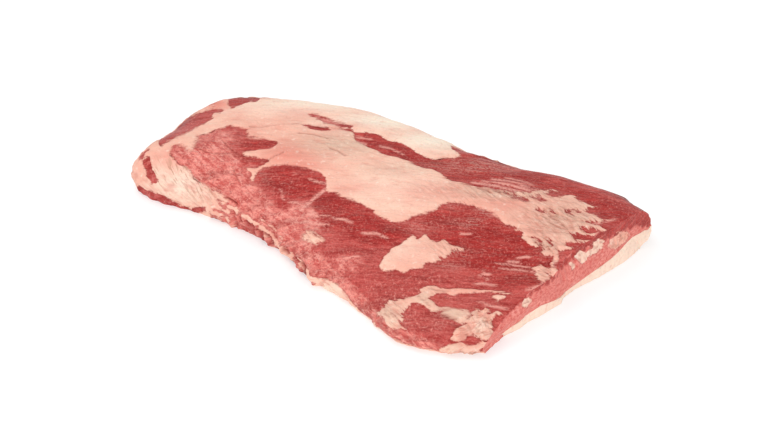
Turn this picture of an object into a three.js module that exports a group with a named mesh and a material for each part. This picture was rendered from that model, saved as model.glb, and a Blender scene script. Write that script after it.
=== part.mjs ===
// A whole raw beef brisket, lying on its layer of fat.
//
// Millimetres, +Z up. The piece lies along X, with its sliced end at +X and its
// thick, rounded end at -X. The origin is under the middle of the piece, on the
// surface that it lies on.
//
// The form is a set of ribs. A crest line runs along the top of the piece. Ribs
// run from it over the near side (-Y) and the far side (+Y) down to the foot,
// and at the thick end they fan out round the crest line's end, the pole. The
// fat covers the underside and climbs every rib to its rim. The lean is what
// lies inside the fat and above its rim.

import * as THREE from 'three';
import { mergeVertices } from 'three/addons/utils/BufferGeometryUtils.js';

// ---------------------------------------------------------------- the form

// Sections across the piece, from the pole to the sliced end. near, far and
// crest are the Y of the two sides and of the crest line. top, mid and edge are
// the heights of the crest, of the slope halfway out, and of the shoulder.
// round is how far in from the side the shoulder starts to turn down.
const SECTION_COLUMNS = [
  'x', 'near', 'far', 'crest', 'top', 'nearMid', 'nearEdge', 'nearRound', 'farMid', 'farEdge', 'farRound',
];
const SECTIONS = [
  [-150, -66, 129, 12, 61, 58, 45, 20, 61, 55, 26],
  [-105, -69, 143, 18, 62, 58, 45, 22, 62, 56, 26],
  [-52, -80, 143, 26, 62, 57, 43, 24, 61, 56, 26],
  [6, -105, 135, 30, 61, 53, 40, 26, 60, 55, 24],
  [58, -114, 126, 30, 59, 49, 36, 28, 58, 53, 22],
  [105, -129, 131, 34, 56, 45, 31, 32, 56, 51, 20],
  [148, -143, 141, 44, 53, 40, 26, 34, 52, 48, 20],
  [186, -136, 142, 52, 50, 36, 23, 30, 49, 44, 20],
  [220, -117, 132, 56, 47, 34, 22, 24, 46, 41, 22],
];

// The thick end: a blunt end with rounded corners, its near corner drawn out.
const END = {
  reach: 108,
  nearCorner: 6.0,
  farCorner: 3.4,
  lobe: 12,
  lobeAt: 0.26,
  lobeWide: 0.1,
  mid: 57,
  edge: 46,
  round: 18,
};

// The sliced end is skewed in plan and leans back a little.
const SLICE = { skew: 0.262, skewFrom: -165, skewTo: 205, lean: 0.04, leanFrom: 120, leanTo: 220 };

// The middle of the whole piece in the sections' X and Y, where the origin is.
const MIDDLE = { x: -2.6, y: 1.7 };

// A side bulges over its foot.
const SIDE = { undercut: 5, highAt: 0.28, highZ: 0.7, wideZ: 0.34 };

// ----------------------------------------------------------------- the fat

// How far up each rib the fat reaches, measured along the surface from the
// foot: by X on the near and the far side, by turn (0 near, 1 far) round the
// thick end.
const RIM_NEAR = [
  [-150, 33], [-130, 25], [-116, 16], [-100, 8], [-60, 7], [-10, 7], [14, 13], [40, 19], [62, 15], [78, 8],
  [90, 6], [110, 6], [220, 6],
];
const RIM_END = [
  [0, 33], [0.06, 38], [0.15, 49], [0.22, 62], [0.28, 78], [0.33, 94], [0.4, 104], [0.49, 106], [0.59, 118],
  [0.7, 132], [0.8, 140], [0.9, 140], [1, 139],
];
const RIM_FAR = [
  [-150, 139], [-129, 134], [-108, 129], [-87, 123], [-66, 112], [-41, 106], [-10, 104], [18, 104],
  [30, 98], [40, 84], [52, 66], [70, 52], [110, 40], [160, 30], [220, 23],
];

// Thickness of the fat under the foot and under the crest, up the side, and at
// its rim. corner rounds its inside over the foot. The roll is its proud edge
// on the far side of the top.
const FAT = {
  underNear: 5,
  underCrest: 9,
  underFar: 15,
  underFarSliced: 21,
  sideNear: 3.5,
  sideEnd: 12,
  sideFar: 14,
  rim: 3,
  rimTaper: 40,
  corner: 2,
  rollHeight: 3,
  rollWidth: 34,
  rollFrom: -110,
  rollTo: -60,
};
const GAP = 0.5; // between the fat and the lean

// Thin fat left on top of the lean: a sheet between two edges along X, which
// cross where it ends, and patches as turned ellipses.
const SHEET_LOW = [
  [-150, 34], [-125, 4], [-100, -8], [-60, -10], [-20, -27], [25, -32], [60, -22], [90, 10], [130, 19],
  [165, 10], [200, -2], [225, 10],
];
const SHEET_HIGH = [
  [-150, 24], [-125, 42], [-100, 51], [-60, 60], [-20, 52], [25, 40], [60, 44], [90, 52], [130, 58],
  [165, 68], [200, 88], [225, 76],
];
const SHEET = { height: 2, edge: 7 };
const PATCHES = [
  { x: 93, y: -58, length: 80, width: 38, turn: 45, height: 2.2 },
  { x: 184, y: -117, length: 62, width: 36, turn: 80, height: 3 },
  { x: 104, y: -124, length: 64, width: 26, turn: 70, height: 2 },
  { x: 150, y: -76, length: 84, width: 16, turn: 18, height: 1.8 },
  { x: 222, y: 34, length: 54, width: 14, turn: 72, height: 1.8 },
];

// Hollows and swellings of the whole surface, and the folds of the trimmed
// near side. Relief fades out over the last stretch above the foot.
const SWELL = { height: 0.9, long: 84, wide: 61, slant: 0.36 };
const FOLDS = { depth: 2.4, pitch: 27, from: -165, to: 30, fade: 40, foot: 45, lastTurn: 0.1 };
const FADE = { foot: 30, thinFat: 8, folds: 8 };

// ------------------------------------------------------------- the facets

// Ribs along the piece and round its thick end, and steps down each rib: over
// the lean, over the fat and along the face between them. fine is for the
// curves that these are measured on.
const FACETS = { length: 42, end: 26, top: 23, skin: 9, inside: 9, fine: 160 };

// ---------------------------------------------------------------- curves

const smooth = (from, to, at) => THREE.MathUtils.smoothstep((at - from) / (to - from), 0, 1);
const { lerp } = THREE.MathUtils;

// A smooth curve through [at, value] knots: cubic pieces that share slopes.
function through(knots) {
  const at = knots.map((knot) => knot[0]);
  const value = knots.map((knot) => knot[1]);
  const last = knots.length - 1;
  const rise = (i) => (value[i + 1] - value[i]) / (at[i + 1] - at[i]);
  const slope = value.map((_, i) => {
    if (i === 0) return rise(0);
    if (i === last) return rise(last - 1);
    const before = at[i] - at[i - 1];
    const after = at[i + 1] - at[i];
    return (rise(i - 1) * after + rise(i) * before) / (before + after);
  });
  return (wanted) => {
    const x = THREE.MathUtils.clamp(wanted, at[0], at[last]);
    let i = 0;
    while (i < last - 1 && x > at[i + 1]) i += 1;
    const step = at[i + 1] - at[i];
    const t = (x - at[i]) / step;
    const hold = (1 + 2 * t) * (1 - t) ** 2 * value[i] + t * t * (3 - 2 * t) * value[i + 1];
    const bend = t * (1 - t) ** 2 * slope[i] + t * t * (t - 1) * slope[i + 1];
    return hold + step * bend;
  };
}

const columnCurve = (name) => {
  const column = SECTION_COLUMNS.indexOf(name);
  return through(SECTIONS.map((section) => [section[0], section[column]]));
};
const section = Object.fromEntries(SECTION_COLUMNS.slice(1).map((name) => [name, columnCurve(name)]));
const POLE_X = SECTIONS[0][0];
const SLICE_X = SECTIONS[SECTIONS.length - 1][0];

// Evenly spaced samples of a value between two ends.
const spread = (count, from, to) => Array.from({ length: count + 1 }, (_, i) => lerp(from, to, i / count));

// ------------------------------------------------------------------- ribs

const rimNear = through(RIM_NEAR);
const rimEnd = through(RIM_END);
const rimFar = through(RIM_FAR);

// A rib of the near or the far side, across the piece at x.
function sideRib(x, isFar) {
  const side = isFar ? 'far' : 'near';
  const sliced = smooth(0, SLICE_X, x);
  return {
    x,
    turn: isFar ? 1 : 0,
    taper: 0,
    reach: Math.abs(section[side](x) - section.crest(x)),
    crest: section.crest(x),
    top: section.top(x),
    mid: section[`${side}Mid`](x),
    edge: section[`${side}Edge`](x),
    round: section[`${side}Round`](x),
    rim: isFar ? rimFar(x) : rimNear(x),
    sideFat: isFar ? FAT.sideFar : FAT.sideNear,
    underFat: isFar ? lerp(FAT.underFar, FAT.underFarSliced, sliced) : FAT.underNear,
  };
}

const poleRibs = [sideRib(POLE_X, false), sideRib(POLE_X, true)];

// The plan of the thick end: distance from the pole to the side at a turn.
function endReach(turn) {
  const across = poleRibs[turn < 0.5 ? 0 : 1].reach;
  const squareness = lerp(END.nearCorner, END.farCorner, smooth(0.3, 0.7, turn));
  const along = Math.sin(Math.PI * turn) / END.reach;
  const aside = Math.abs(Math.cos(Math.PI * turn)) / across;
  const lobe = END.lobe * Math.exp(-(((turn - END.lobeAt) / END.lobeWide) ** 2));
  return (along ** squareness + aside ** squareness) ** (-1 / squareness) + lobe;
}

// Turns that space the end's ribs evenly along its outline.
function endTurns(count) {
  const fine = spread(4 * FACETS.fine, 0, 1);
  const outline = fine.map((turn) => {
    const reach = endReach(turn);
    return new THREE.Vector2(-Math.sin(Math.PI * turn) * reach, -Math.cos(Math.PI * turn) * reach);
  });
  const length = [0];
  for (let i = 1; i < fine.length; i += 1) {
    length.push(length[i - 1] + outline[i].distanceTo(outline[i - 1]));
  }
  return spread(count + 1, 0, length[length.length - 1])
    .slice(1, -1)
    .map((wanted) => fine[length.findIndex((walked) => walked >= wanted)]);
}

// The edge of a side widens or narrows past the pole as it does before it.
function taper(isFar) {
  const side = isFar ? 'far' : 'near';
  const slope = section[side](POLE_X + 1) - section[side](POLE_X);
  return slope / (section[side](POLE_X) - section.crest(POLE_X));
}

// A rib of the thick end, out of the pole.
function endRib(turn) {
  const isFar = turn >= 0.5;
  const neighbour = poleRibs[isFar ? 1 : 0];
  const away = isFar ? smooth(1, 0.5, turn) : smooth(0, 0.5, turn);
  return {
    x: POLE_X,
    turn,
    taper: taper(isFar),
    reach: endReach(turn),
    crest: section.crest(POLE_X),
    top: section.top(POLE_X),
    mid: lerp(neighbour.mid, END.mid, away),
    edge: lerp(neighbour.edge, END.edge, away),
    round: lerp(neighbour.round, END.round, away),
    rim: rimEnd(turn),
    sideFat: lerp(neighbour.sideFat, FAT.sideEnd, away),
    underFat: lerp(neighbour.underFat, (FAT.underNear + FAT.underFar) / 2, away),
  };
}

// All ribs in order: sliced end, near side, thick end, far side, sliced end.
function allRibs() {
  const along = spread(FACETS.length, SLICE_X, POLE_X);
  const near = along.map((x) => sideRib(x, false));
  const end = endTurns(FACETS.end).map((turn) => endRib(turn));
  const far = along.reverse().map((x) => sideRib(x, true));
  return [...near, ...end, ...far];
}

// The rib's curve in its own plane, out from the crest and up, as a function
// of the distance walked down it. It leaves the crest level, and mirrored
// there it goes on to the other side, so that both sides meet smoothly.
function ribCurve(rib) {
  const { reach, round, top, mid, edge } = rib;
  const points = [
    [-(reach - round) / 2, mid],
    [0, top],
    [(reach - round) / 2, mid],
    [reach - round, edge],
    [reach - SIDE.highAt * round, SIDE.highZ * edge],
    [reach, SIDE.wideZ * edge],
    [reach - SIDE.undercut, 0],
  ].map(([out, up]) => new THREE.Vector2(out, up));
  const knots = [0];
  for (let i = 1; i < points.length; i += 1) {
    knots.push(knots[i - 1] + Math.sqrt(points[i].distanceTo(points[i - 1])));
  }
  const out = through(points.map((point, i) => [knots[i], point.x]));
  const up = through(points.map((point, i) => [knots[i], point.y]));
  const steps = spread(FACETS.fine, knots[1], knots[knots.length - 1]);
  const fine = steps.map((t) => new THREE.Vector2(out(t), up(t)));
  const path = new THREE.Path(fine);
  const length = path.getLength();
  const at = (walked) => {
    const point = path.getPointAt(Math.min(Math.abs(walked) / length, 1));
    return walked < 0 ? point.setX(-point.x) : point;
  };
  const outward = (walked) => {
    const ahead = at(walked + 0.5).sub(at(walked - 0.5)).normalize();
    return new THREE.Vector2(-ahead.y, ahead.x);
  };
  return { length, at, outward };
}

// From a rib's plane to the piece: [out, up] to a point in space.
function place(rib, point) {
  const along = -Math.sin(Math.PI * rib.turn) * point.x;
  const aside = -Math.cos(Math.PI * rib.turn) * point.x * (1 + rib.taper * along);
  const y = rib.crest + aside;
  const skew = SLICE.skew * smooth(SLICE.skewFrom, SLICE.skewTo, rib.x);
  const lean = SLICE.lean * smooth(SLICE.leanFrom, SLICE.leanTo, rib.x);
  const x = rib.x + along + skew * y - lean * point.y;
  return new THREE.Vector3(x - MIDDLE.x, y - MIDDLE.y, point.y);
}

// ----------------------------------------------------------------- relief

const sheetLow = through(SHEET_LOW);
const sheetHigh = through(SHEET_HIGH);

// Height of the thin fat on top of the lean.
function thinFat(x, y) {
  const inSheet = Math.min(y - sheetLow(x), sheetHigh(x) - y);
  let height = SHEET.height * smooth(-SHEET.edge / 2, SHEET.edge / 2, inSheet);
  for (const patch of PATCHES) {
    const turn = THREE.MathUtils.degToRad(patch.turn);
    const across = new THREE.Vector2(x - patch.x, y - patch.y).rotateAround(new THREE.Vector2(), -turn);
    const out = Math.hypot((2 * across.x) / patch.length, (2 * across.y) / patch.width);
    height = Math.max(height, patch.height * smooth(1.2, 0.75, out));
  }
  return height;
}

// Gentle swellings, and upright folds low on the near side.
function swelling(x, y) {
  const along = (2 * Math.PI * (x + SWELL.slant * y)) / SWELL.long;
  const across = (2 * Math.PI * (y - SWELL.slant * x)) / SWELL.wide;
  return SWELL.height * Math.sin(along) * Math.cos(across);
}

function folds(rib, fromFoot, x) {
  if (rib.turn > FOLDS.lastTurn) return 0;
  const here = smooth(FOLDS.from, FOLDS.from + FOLDS.fade, x) * smooth(FOLDS.to, FOLDS.to - FOLDS.fade, x);
  const low = smooth(FOLDS.foot, 0, fromFoot) * smooth(0, FADE.folds, fromFoot);
  return FOLDS.depth * here * low * Math.sin((2 * Math.PI * x) / FOLDS.pitch);
}

// A point of the skin, raised off the smooth form by height.
const raised = (curve, walked, height) => curve.at(walked).addScaledVector(curve.outward(walked), height);

function leanPoint(rib, curve, walked) {
  const flat = place(rib, curve.at(walked));
  const toFoot = curve.length - walked;
  const thin = thinFat(flat.x, flat.y) * smooth(FADE.thinFat, FADE.foot, toFoot);
  const swell = swelling(flat.x, flat.y) * smooth(0, FADE.foot, toFoot);
  return place(rib, raised(curve, walked, thin + swell + folds(rib, toFoot, flat.x)));
}

// The far side's fat ends on top in a proud, rounded roll.
function fatPoint(rib, curve, walked) {
  const flat = place(rib, curve.at(walked));
  const toFoot = curve.length - walked;
  const fromRim = rib.rim - toFoot;
  const isRoll = rib.turn === 1 ? smooth(FAT.rollFrom, FAT.rollTo, rib.x) : 0;
  const roll = FAT.rollHeight * isRoll * smooth(FAT.rollWidth, FAT.rollWidth / 3, fromRim);
  const height = (roll + swelling(flat.x, flat.y)) * smooth(0, FADE.foot, toFoot);
  return place(rib, raised(curve, walked, height));
}

// -------------------------------------------------------------- the layer

// The inside face of the fat along one rib, from the rim down the side and back
// under the crest, in even steps.
function insideRow(rib, curve) {
  const side = spread(FACETS.fine, curve.length - rib.rim, curve.length)
    .map((walked) => {
      const fromRim = walked - (curve.length - rib.rim);
      const thick = lerp(FAT.rim, rib.sideFat, smooth(0, FAT.rimTaper, fromRim));
      return curve.at(walked).addScaledVector(curve.outward(walked), -thick);
    })
    .filter((point, i) => i === 0 || point.y > rib.underFat + FAT.corner);
  const edge = side[side.length - 1].x - FAT.corner;
  const under = spread(FACETS.fine, 1, 0).map((out) => {
    const up = lerp(FAT.underCrest, rib.underFat, smooth(0, 1, out));
    return new THREE.Vector2(edge * out, up);
  });
  return new THREE.Path([...side, ...under]).getSpacedPoints(FACETS.inside);
}

// The face of the lean opposite: the same row moved off by the gap. Both rows
// of a rib start at the fat's rim on the skin.
function facingRow(rim, inside) {
  const row = [rim, ...inside];
  const normal = (i) => {
    const step = row[i + 1].clone().sub(row[i]).normalize();
    return new THREE.Vector2(step.y, -step.x);
  };
  return inside.map((point, i) => {
    const isUnderCrest = i === inside.length - 1;
    const before = normal(i);
    const after = isUnderCrest ? new THREE.Vector2(0, 1) : normal(i + 1);
    if (isUnderCrest) return point.clone().addScaledVector(after, GAP);
    const share = GAP / (1 + before.dot(after));
    return point.clone().addScaledVector(before.add(after), share);
  });
}

function leanRow(rib) {
  const curve = ribCurve(rib);
  const rimAt = curve.length - rib.rim;
  const skin = spread(FACETS.top, 0, rimAt - GAP).map((walked) => leanPoint(rib, curve, walked));
  const facing = facingRow(curve.at(rimAt), insideRow(rib, curve));
  return [...skin, ...facing.map((point) => place(rib, point))];
}

function fatRow(rib) {
  const curve = ribCurve(rib);
  const rimAt = curve.length - rib.rim;
  const skin = spread(FACETS.skin, curve.length, rimAt).map((walked) => fatPoint(rib, curve, walked));
  return [...skin, ...insideRow(rib, curve).map((point) => place(rib, point))];
}

// ----------------------------------------------------------------- solids

// Collects triangles, leaving out those with two corners in one place.
class Skin {
  constructor() {
    this.corners = [];
  }

  triangle(a, b, c) {
    const tiny = 1e-4;
    if (a.distanceTo(b) < tiny || b.distanceTo(c) < tiny || c.distanceTo(a) < tiny) return;
    for (const corner of [a, b, c]) this.corners.push(corner.x, corner.y, corner.z);
  }

  // Rows of points, joined each to the next. Every square is cut on the same
  // diagonal, so that the faces of the fat and the lean stay parallel.
  rows(rows, isFacingBack) {
    for (let i = 0; i + 1 < rows.length; i += 1) {
      for (let j = 0; j + 1 < rows[i].length; j += 1) {
        const [a, b, c, d] = [rows[i][j], rows[i][j + 1], rows[i + 1][j + 1], rows[i + 1][j]];
        this.triangle(a, isFacingBack ? c : b, isFacingBack ? b : c);
        this.triangle(a, isFacingBack ? d : c, isFacingBack ? c : d);
      }
    }
  }

  // A flat face inside an outline, seen by its two flat coordinates.
  face(outline, flatten) {
    const triangles = THREE.ShapeUtils.triangulateShape(outline.map(flatten), []);
    for (const [a, b, c] of triangles) this.triangle(outline[a], outline[b], outline[c]);
  }

  geometry() {
    const geometry = new THREE.BufferGeometry();
    geometry.setAttribute('position', new THREE.Float32BufferAttribute(this.corners, 3));
    const closed = mergeVertices(geometry, 1e-3);
    closed.computeVertexNormals();
    return closed;
  }
}

const fromSlice = (point) => new THREE.Vector2(point.y, point.z);
const fromBelow = (point) => new THREE.Vector2(point.y, point.x);

// The outline of the sliced face: down the first rib's row and back up the
// last one's, without the points that the two share.
function sliceOutline(rows, isClosedOnCrest) {
  const first = rows[0];
  const last = [...rows[rows.length - 1]].reverse();
  return isClosedOnCrest ? [...first, ...last.slice(1, -1)] : [...first, ...last.slice(1)];
}

function leanGeometry(ribs) {
  const rows = ribs.map(leanRow);
  const skin = new Skin();
  skin.rows(rows, true);
  skin.face(sliceOutline(rows, true), fromSlice);
  return skin.geometry();
}

function fatGeometry(ribs) {
  const rows = ribs.map(fatRow);
  const skin = new Skin();
  skin.rows(rows, false);
  skin.face(sliceOutline(rows, false).reverse(), fromSlice);
  skin.face(rows.map((row) => row[0]), fromBelow);
  return skin.geometry();
}

// -------------------------------------------------------------- materials

const leanMaterial = () => new THREE.MeshStandardMaterial({ color: '#b5423f', roughness: 0.42 });
const fatMaterial = () => new THREE.MeshStandardMaterial({ color: '#f6dcc2', roughness: 0.5 });

function named(name, geometry, material) {
  const mesh = new THREE.Mesh(geometry, material);
  mesh.name = name;
  return mesh;
}

const ribs = allRibs();
const brisket = new THREE.Group();
brisket.add(named('lean', leanGeometry(ribs), leanMaterial()));
brisket.add(named('fat_cap', fatGeometry(ribs), fatMaterial()));

export default brisket;
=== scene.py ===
"""A whole raw beef brisket on a pale floor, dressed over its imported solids.

Lengths in this file are millimetres, with +Z up, +X along the piece to its
sliced end and +Y to its far side. Meshes go to Blender in metres. The lean and
the fat are built as fine skins over the same ribs as the solids. What shows on
them is placed by outlines on the picture, which give both the colours and the
relief: fibres, folds, and the torn edges of the fat.
"""

import math

import bpy
import numpy as np
from mathutils import Matrix, Vector


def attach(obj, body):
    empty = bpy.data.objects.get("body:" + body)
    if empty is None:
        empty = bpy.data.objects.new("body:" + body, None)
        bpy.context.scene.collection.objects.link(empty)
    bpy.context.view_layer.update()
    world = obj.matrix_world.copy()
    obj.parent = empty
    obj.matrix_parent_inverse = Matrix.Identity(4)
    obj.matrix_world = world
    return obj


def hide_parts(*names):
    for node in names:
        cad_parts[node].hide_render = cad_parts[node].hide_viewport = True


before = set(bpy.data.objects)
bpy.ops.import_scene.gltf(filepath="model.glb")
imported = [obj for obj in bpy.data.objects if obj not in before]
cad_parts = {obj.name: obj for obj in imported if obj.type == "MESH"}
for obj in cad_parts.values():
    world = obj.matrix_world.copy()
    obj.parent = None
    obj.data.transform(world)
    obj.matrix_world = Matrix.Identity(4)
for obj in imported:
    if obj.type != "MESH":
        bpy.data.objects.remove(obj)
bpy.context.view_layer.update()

METRE = 1000.0

# ------------------------------------------------------------------- the camera

# The picture's frame and the camera that took it. turn is the direction that
# the camera stands in, from -Y towards +X, and rise its height, in degrees.
PICTURE = (780, 438)
CAMERA = {"turn": 30, "rise": 35, "distance": 1525, "focal": 1487, "target": (10.1, 27.3, 0)}
SENSOR = 36.0


def camera_axes():
    """Right, up and backward of the camera, as unit vectors."""
    turn, rise = (math.radians(CAMERA[key]) for key in ("turn", "rise"))
    right = np.array([math.cos(turn), math.sin(turn), 0])
    back = np.array([math.sin(turn) * math.cos(rise), -math.cos(turn) * math.cos(rise), math.sin(rise)])
    return right, np.cross(back, right), back


def camera_place():
    return np.array(CAMERA["target"]) + camera_axes()[2] * CAMERA["distance"]


def in_picture(points):
    """The pixels of the picture where points in space appear."""
    right, up, back = camera_axes()
    seen = points - camera_place()
    depth = -(seen @ back)
    across = PICTURE[0] / 2 + CAMERA["focal"] * (seen @ right) / depth
    down = PICTURE[1] / 2 - CAMERA["focal"] * (seen @ up) / depth
    return np.stack([across, down], axis=1)


def facing_camera(points, normals):
    """1 where a surface looks straight at the camera, and below 0 where it is turned away."""
    to_camera = camera_place() - points
    to_camera /= np.linalg.norm(to_camera, axis=1, keepdims=True)
    return (normals * to_camera).sum(axis=1)


# --------------------------------------------------------------------- the form

# Sections across the piece, from the pole to the sliced end, as in the solids.
SECTION_COLUMNS = (
    "x", "near", "far", "crest", "top",
    "near_mid", "near_edge", "near_round", "far_mid", "far_edge", "far_round",
)
SECTIONS = (
    (-150, -66, 129, 12, 61, 58, 45, 20, 61, 55, 26),
    (-105, -69, 143, 18, 62, 58, 45, 22, 62, 56, 26),
    (-52, -80, 143, 26, 62, 57, 43, 24, 61, 56, 26),
    (6, -105, 135, 30, 61, 53, 40, 26, 60, 55, 24),
    (58, -114, 126, 30, 59, 49, 36, 28, 58, 53, 22),
    (105, -129, 131, 34, 56, 45, 31, 32, 56, 51, 20),
    (148, -143, 141, 44, 53, 40, 26, 34, 52, 48, 20),
    (186, -136, 142, 52, 50, 36, 23, 30, 49, 44, 20),
    (220, -117, 132, 56, 47, 34, 22, 24, 46, 41, 22),
)
POLE_X, SLICE_X = SECTIONS[0][0], SECTIONS[-1][0]
# The thick end: a blunt end with rounded corners, its near corner drawn out.
END = {
    "reach": 108, "near_corner": 6.0, "far_corner": 3.4, "lobe": 12, "lobe_at": 0.26, "lobe_wide": 0.1,
    "mid": 57, "edge": 46, "round": 18,
}
# The slice runs aslant, by this much of Y, and leans back by this much of Z.
SLICE = {"skew": 0.262, "lean": 0.04}
MIDDLE = (-2.6, 1.7)  # X and Y of the sections that come to lie over the origin
# The sides: how far the foot is drawn in, and where they are high and wide.
SIDE = {"undercut": 5, "high_at": 0.28, "high_z": 0.7, "wide_z": 0.34}

# How far up each rib the fat reaches from the foot: by X on the near and far
# side, by turn round the thick end.
RIM_NEAR = (
    (-150, 33), (-130, 25), (-116, 16), (-100, 8), (-60, 7), (-10, 7), (14, 13), (40, 19), (62, 15), (78, 8),
    (90, 6), (110, 6), (220, 6),
)
RIM_END = (
    (0, 33), (0.06, 38), (0.15, 49), (0.22, 62), (0.28, 78), (0.33, 94), (0.4, 104), (0.49, 106), (0.59, 118),
    (0.7, 132), (0.8, 140), (0.9, 140), (1, 139),
)
RIM_FAR = (
    (-150, 139), (-129, 134), (-108, 129), (-87, 123), (-66, 112), (-41, 106), (-10, 104), (18, 104),
    (30, 98), (40, 84), (52, 66), (70, 52), (110, 40), (160, 30), (220, 23),
)
# Thickness of the fat under the foot and the crest, up the side and at its rim,
# and how far its inner corner is cut off.
FAT = {
    "under_near": 5, "under_crest": 9, "under_far": 15, "under_far_sliced": 21,
    "side_near": 3.5, "side_end": 12, "side_far": 14, "rim": 3, "corner": 2,
}
SEAM = 0.1  # between the two pieces
# Gentle waves of the skin: their height, their lengths and how much they slant.
SWELL = {"height": 0.9, "long": 84, "wide": 61, "slant": 0.36}

# Ribs along the sides and round the end, and steps down each: over the lean,
# over the fat, along the face between them and under the fat. Then the steps
# across and along a sliced face.
COUNTS = {
    "length": 208, "end": 150, "top": 134, "skin": 96, "inside": 9, "under": 20, "cut": 18, "cut_long": 190,
}
FINE = 160  # steps of the curves that these are measured on

# --------------------------------------------------------- curves, fades, noise

# Where each thing fades in, from none of it to all: along the piece, up from
# the foot, in from an edge, or by a noise or an angle.
FADES = {
    # X along the piece
    "skew": (-165, 205), "lean": (120, 220), "sliced": (0, SLICE_X), "roll_begins": (-107.4, -57.4),
    "rag_end": (-40, -90), "slit_end": (-60, -100), "rim_begins": (20, 60), "folds_end": (60, 0),
    # the turn round the thick end
    "far_corner": (0.3, 0.7),
    # distance walked from the foot or the rim
    "rim_taper": (0, 40), "rim_rag": (8, 34), "near_folds": (46, 6), "far_folds": (5, 30),
    "rag_low": (40, 8), "dark_rim": (58, 40), "foot": (0, 12), "foot_fine": (0, 5), "on_lean": (-6, 2),
    "roll": (34, 34 / 3), "roll_rim": (0, 5),
    # how squarely the camera sees a place: its marks, its tones, its painted edge shade
    "seen": (-0.2, -0.02), "known": (-0.6, 0.1), "grazing": (0.34, 0.1), "in_front": (-0.25, 0),
    # pixels in from an outline, a line, or the side of the picture
    "fat": (-1.6, 2.2), "fat_thick": (0, 9), "lobe": (-5, 8), "lump": (-1.5, 4), "crimson": (-4, 6),
    "pale": (-9, 9), "band": (0, 3), "streak": (-1.2, 0.8), "crease": (-0.9, 0.9), "gash": (-1.0, 0.8),
    "fray": (330, 500), "cut_rim": (-1, 1), "cut_fat": (-1, 2), "cut_bright": (612, 600),
    # levels of a noise
    "uneven": (0, 0.3), "broken": (-0.1, 0.6), "slit": (0.1, 1.1), "veins": (0.12, 0),
    "wrinkle": (-0.1, 0.5), "hollow_shade": (0.1, 1.1), "hollow": (0.05, 0.5),
    # Z and Y on the slice, and the distance in from it
    "slice_top": (14, 40), "slice_low": (16, 2), "seam_above": (0, 6), "seam_below": (45, 14),
    "corner_low": (32, 10), "corner_high": (20, 36), "corner_in": (92, 131), "corner_round": (117, 141),
    "bevel": (36, 0), "foot_back": (30, 0), "seam_in": (50, 0), "top_in": (60, 0),
}


def smooth(low, high, at):
    part = np.clip((np.asarray(at, float) - low) / (high - low), 0, 1)
    return part * part * (3 - 2 * part)


def fade(name, at):
    return smooth(*FADES[name], at)


def mix(low, high, share):
    return low + (high - low) * share


def through(knots):
    """A smooth curve through (at, value) knots, as a function."""
    at, value = np.array(knots, float).T
    step = np.diff(at)
    rise = np.diff(value) / step
    inner = (rise[:-1] * step[1:] + rise[1:] * step[:-1]) / (step[:-1] + step[1:])
    slope = np.concatenate([rise[:1], inner, rise[-1:]])

    def curve(wanted):
        x = np.clip(wanted, at[0], at[-1])
        i = np.clip(np.searchsorted(at, x) - 1, 0, len(step) - 1)
        t = (x - at[i]) / step[i]
        hold = (1 + 2 * t) * (1 - t) ** 2 * value[i] + t * t * (3 - 2 * t) * value[i + 1]
        return hold + step[i] * (t * (1 - t) ** 2 * slope[i] + t * t * (t - 1) * slope[i + 1])

    return curve


class Noise:
    """Seeded gradient noise over a plane, about -1 to 1."""

    def __init__(self, seed):
        draw = np.random.default_rng(seed)
        self.mixed = draw.permutation(256)
        self.turns = draw.uniform(0, 2 * math.pi, 256)

    def __call__(self, u, v):
        iu, iv = np.floor(u).astype(int), np.floor(v).astype(int)
        fu, fv = u - iu, v - iv

        def corner(du, dv):
            turn = self.turns[(self.mixed[(iu + du) & 255] + iv + dv) & 255]
            return np.cos(turn) * (fu - du) + np.sin(turn) * (fv - dv)

        su, sv = smooth(0, 1, fu), smooth(0, 1, fv)
        return 1.5 * mix(mix(corner(0, 0), corner(1, 0), su), mix(corner(0, 1), corner(1, 1), su), sv)

    def layers(self, u, v, count):
        """Finer and finer copies, each half as strong as the last."""
        return sum(self(u * 2**k + 17 * k, v * 2**k - 9 * k) / 2**k for k in range(count))


SEEDS = {"rim": 11, "fibre": 3, "fringe": 5, "lump": 7, "patch": 9, "fold": 13}
NOISES = {name: Noise(seed) for name, seed in SEEDS.items()}

# Patterns of the skin and the slice: a noise, the length and width of its
# broadest marks, its layers, and how far it goes each way.
PATTERNS = {
    # edges of the fat: its rim, and its outlines pulled across and down
    "rim": ("rim", 16, 16, 3, 3.0), "fray_across": ("fringe", 30, 6.5, 3, 1.0),
    "fray_down": ("lump", 9, 9, 2, 0.9), "rough_across": ("lump", 7, 7, 2, 2.2),
    "rough_down": ("fringe", 5, 6, 2, 1.1), "strands": ("fringe", 16, 3.5, 3, 1.0),
    "rag_end": ("patch", 21, 13, 3, 1.0), "bands": ("fold", 34, 5, 3, 3.4),
    "broken": ("lump", 9, 7, 2, 1.0), "hidden": ("patch", 60, 15, 3, 3.5), "slit": ("lump", 46, 12, 3, 1.0),
    # tones
    "cloud": ("patch", 90, 34, 3, 1.0), "veins": ("lump", 48, 15, 3, 1.0),
    "uneven": ("lump", 12, 9, 3, 1.0),
    # relief
    "fibres": ("fibre", 38, 4.6, 3, 0.5), "fat_folds": ("patch", 18, 7, 4, 0.7),
    "bumps": ("lump", 12, 9, 3, 5.6), "near_folds": ("fold", 15, 40, 2, 6.8),
    "far_folds": ("fold", 52, 13, 3, 1.1), "rag_low": ("lump", 9, 9, 3, 1.9),
    "under": ("patch", 26, 17, 3, 0.35),
    # the slice
    "cut_wander": ("lump", 5, 5, 3, 1.8), "cut_strokes": ("fringe", 5.5, 8, 3, 2.6),
    "cut_lumps": ("lump", 6, 3, 3, 1.0), "edge_rag": ("lump", 7, 30, 3, 0.3),
    "edge_chips": ("fringe", 5, 40, 2, 0.6),
}


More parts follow.
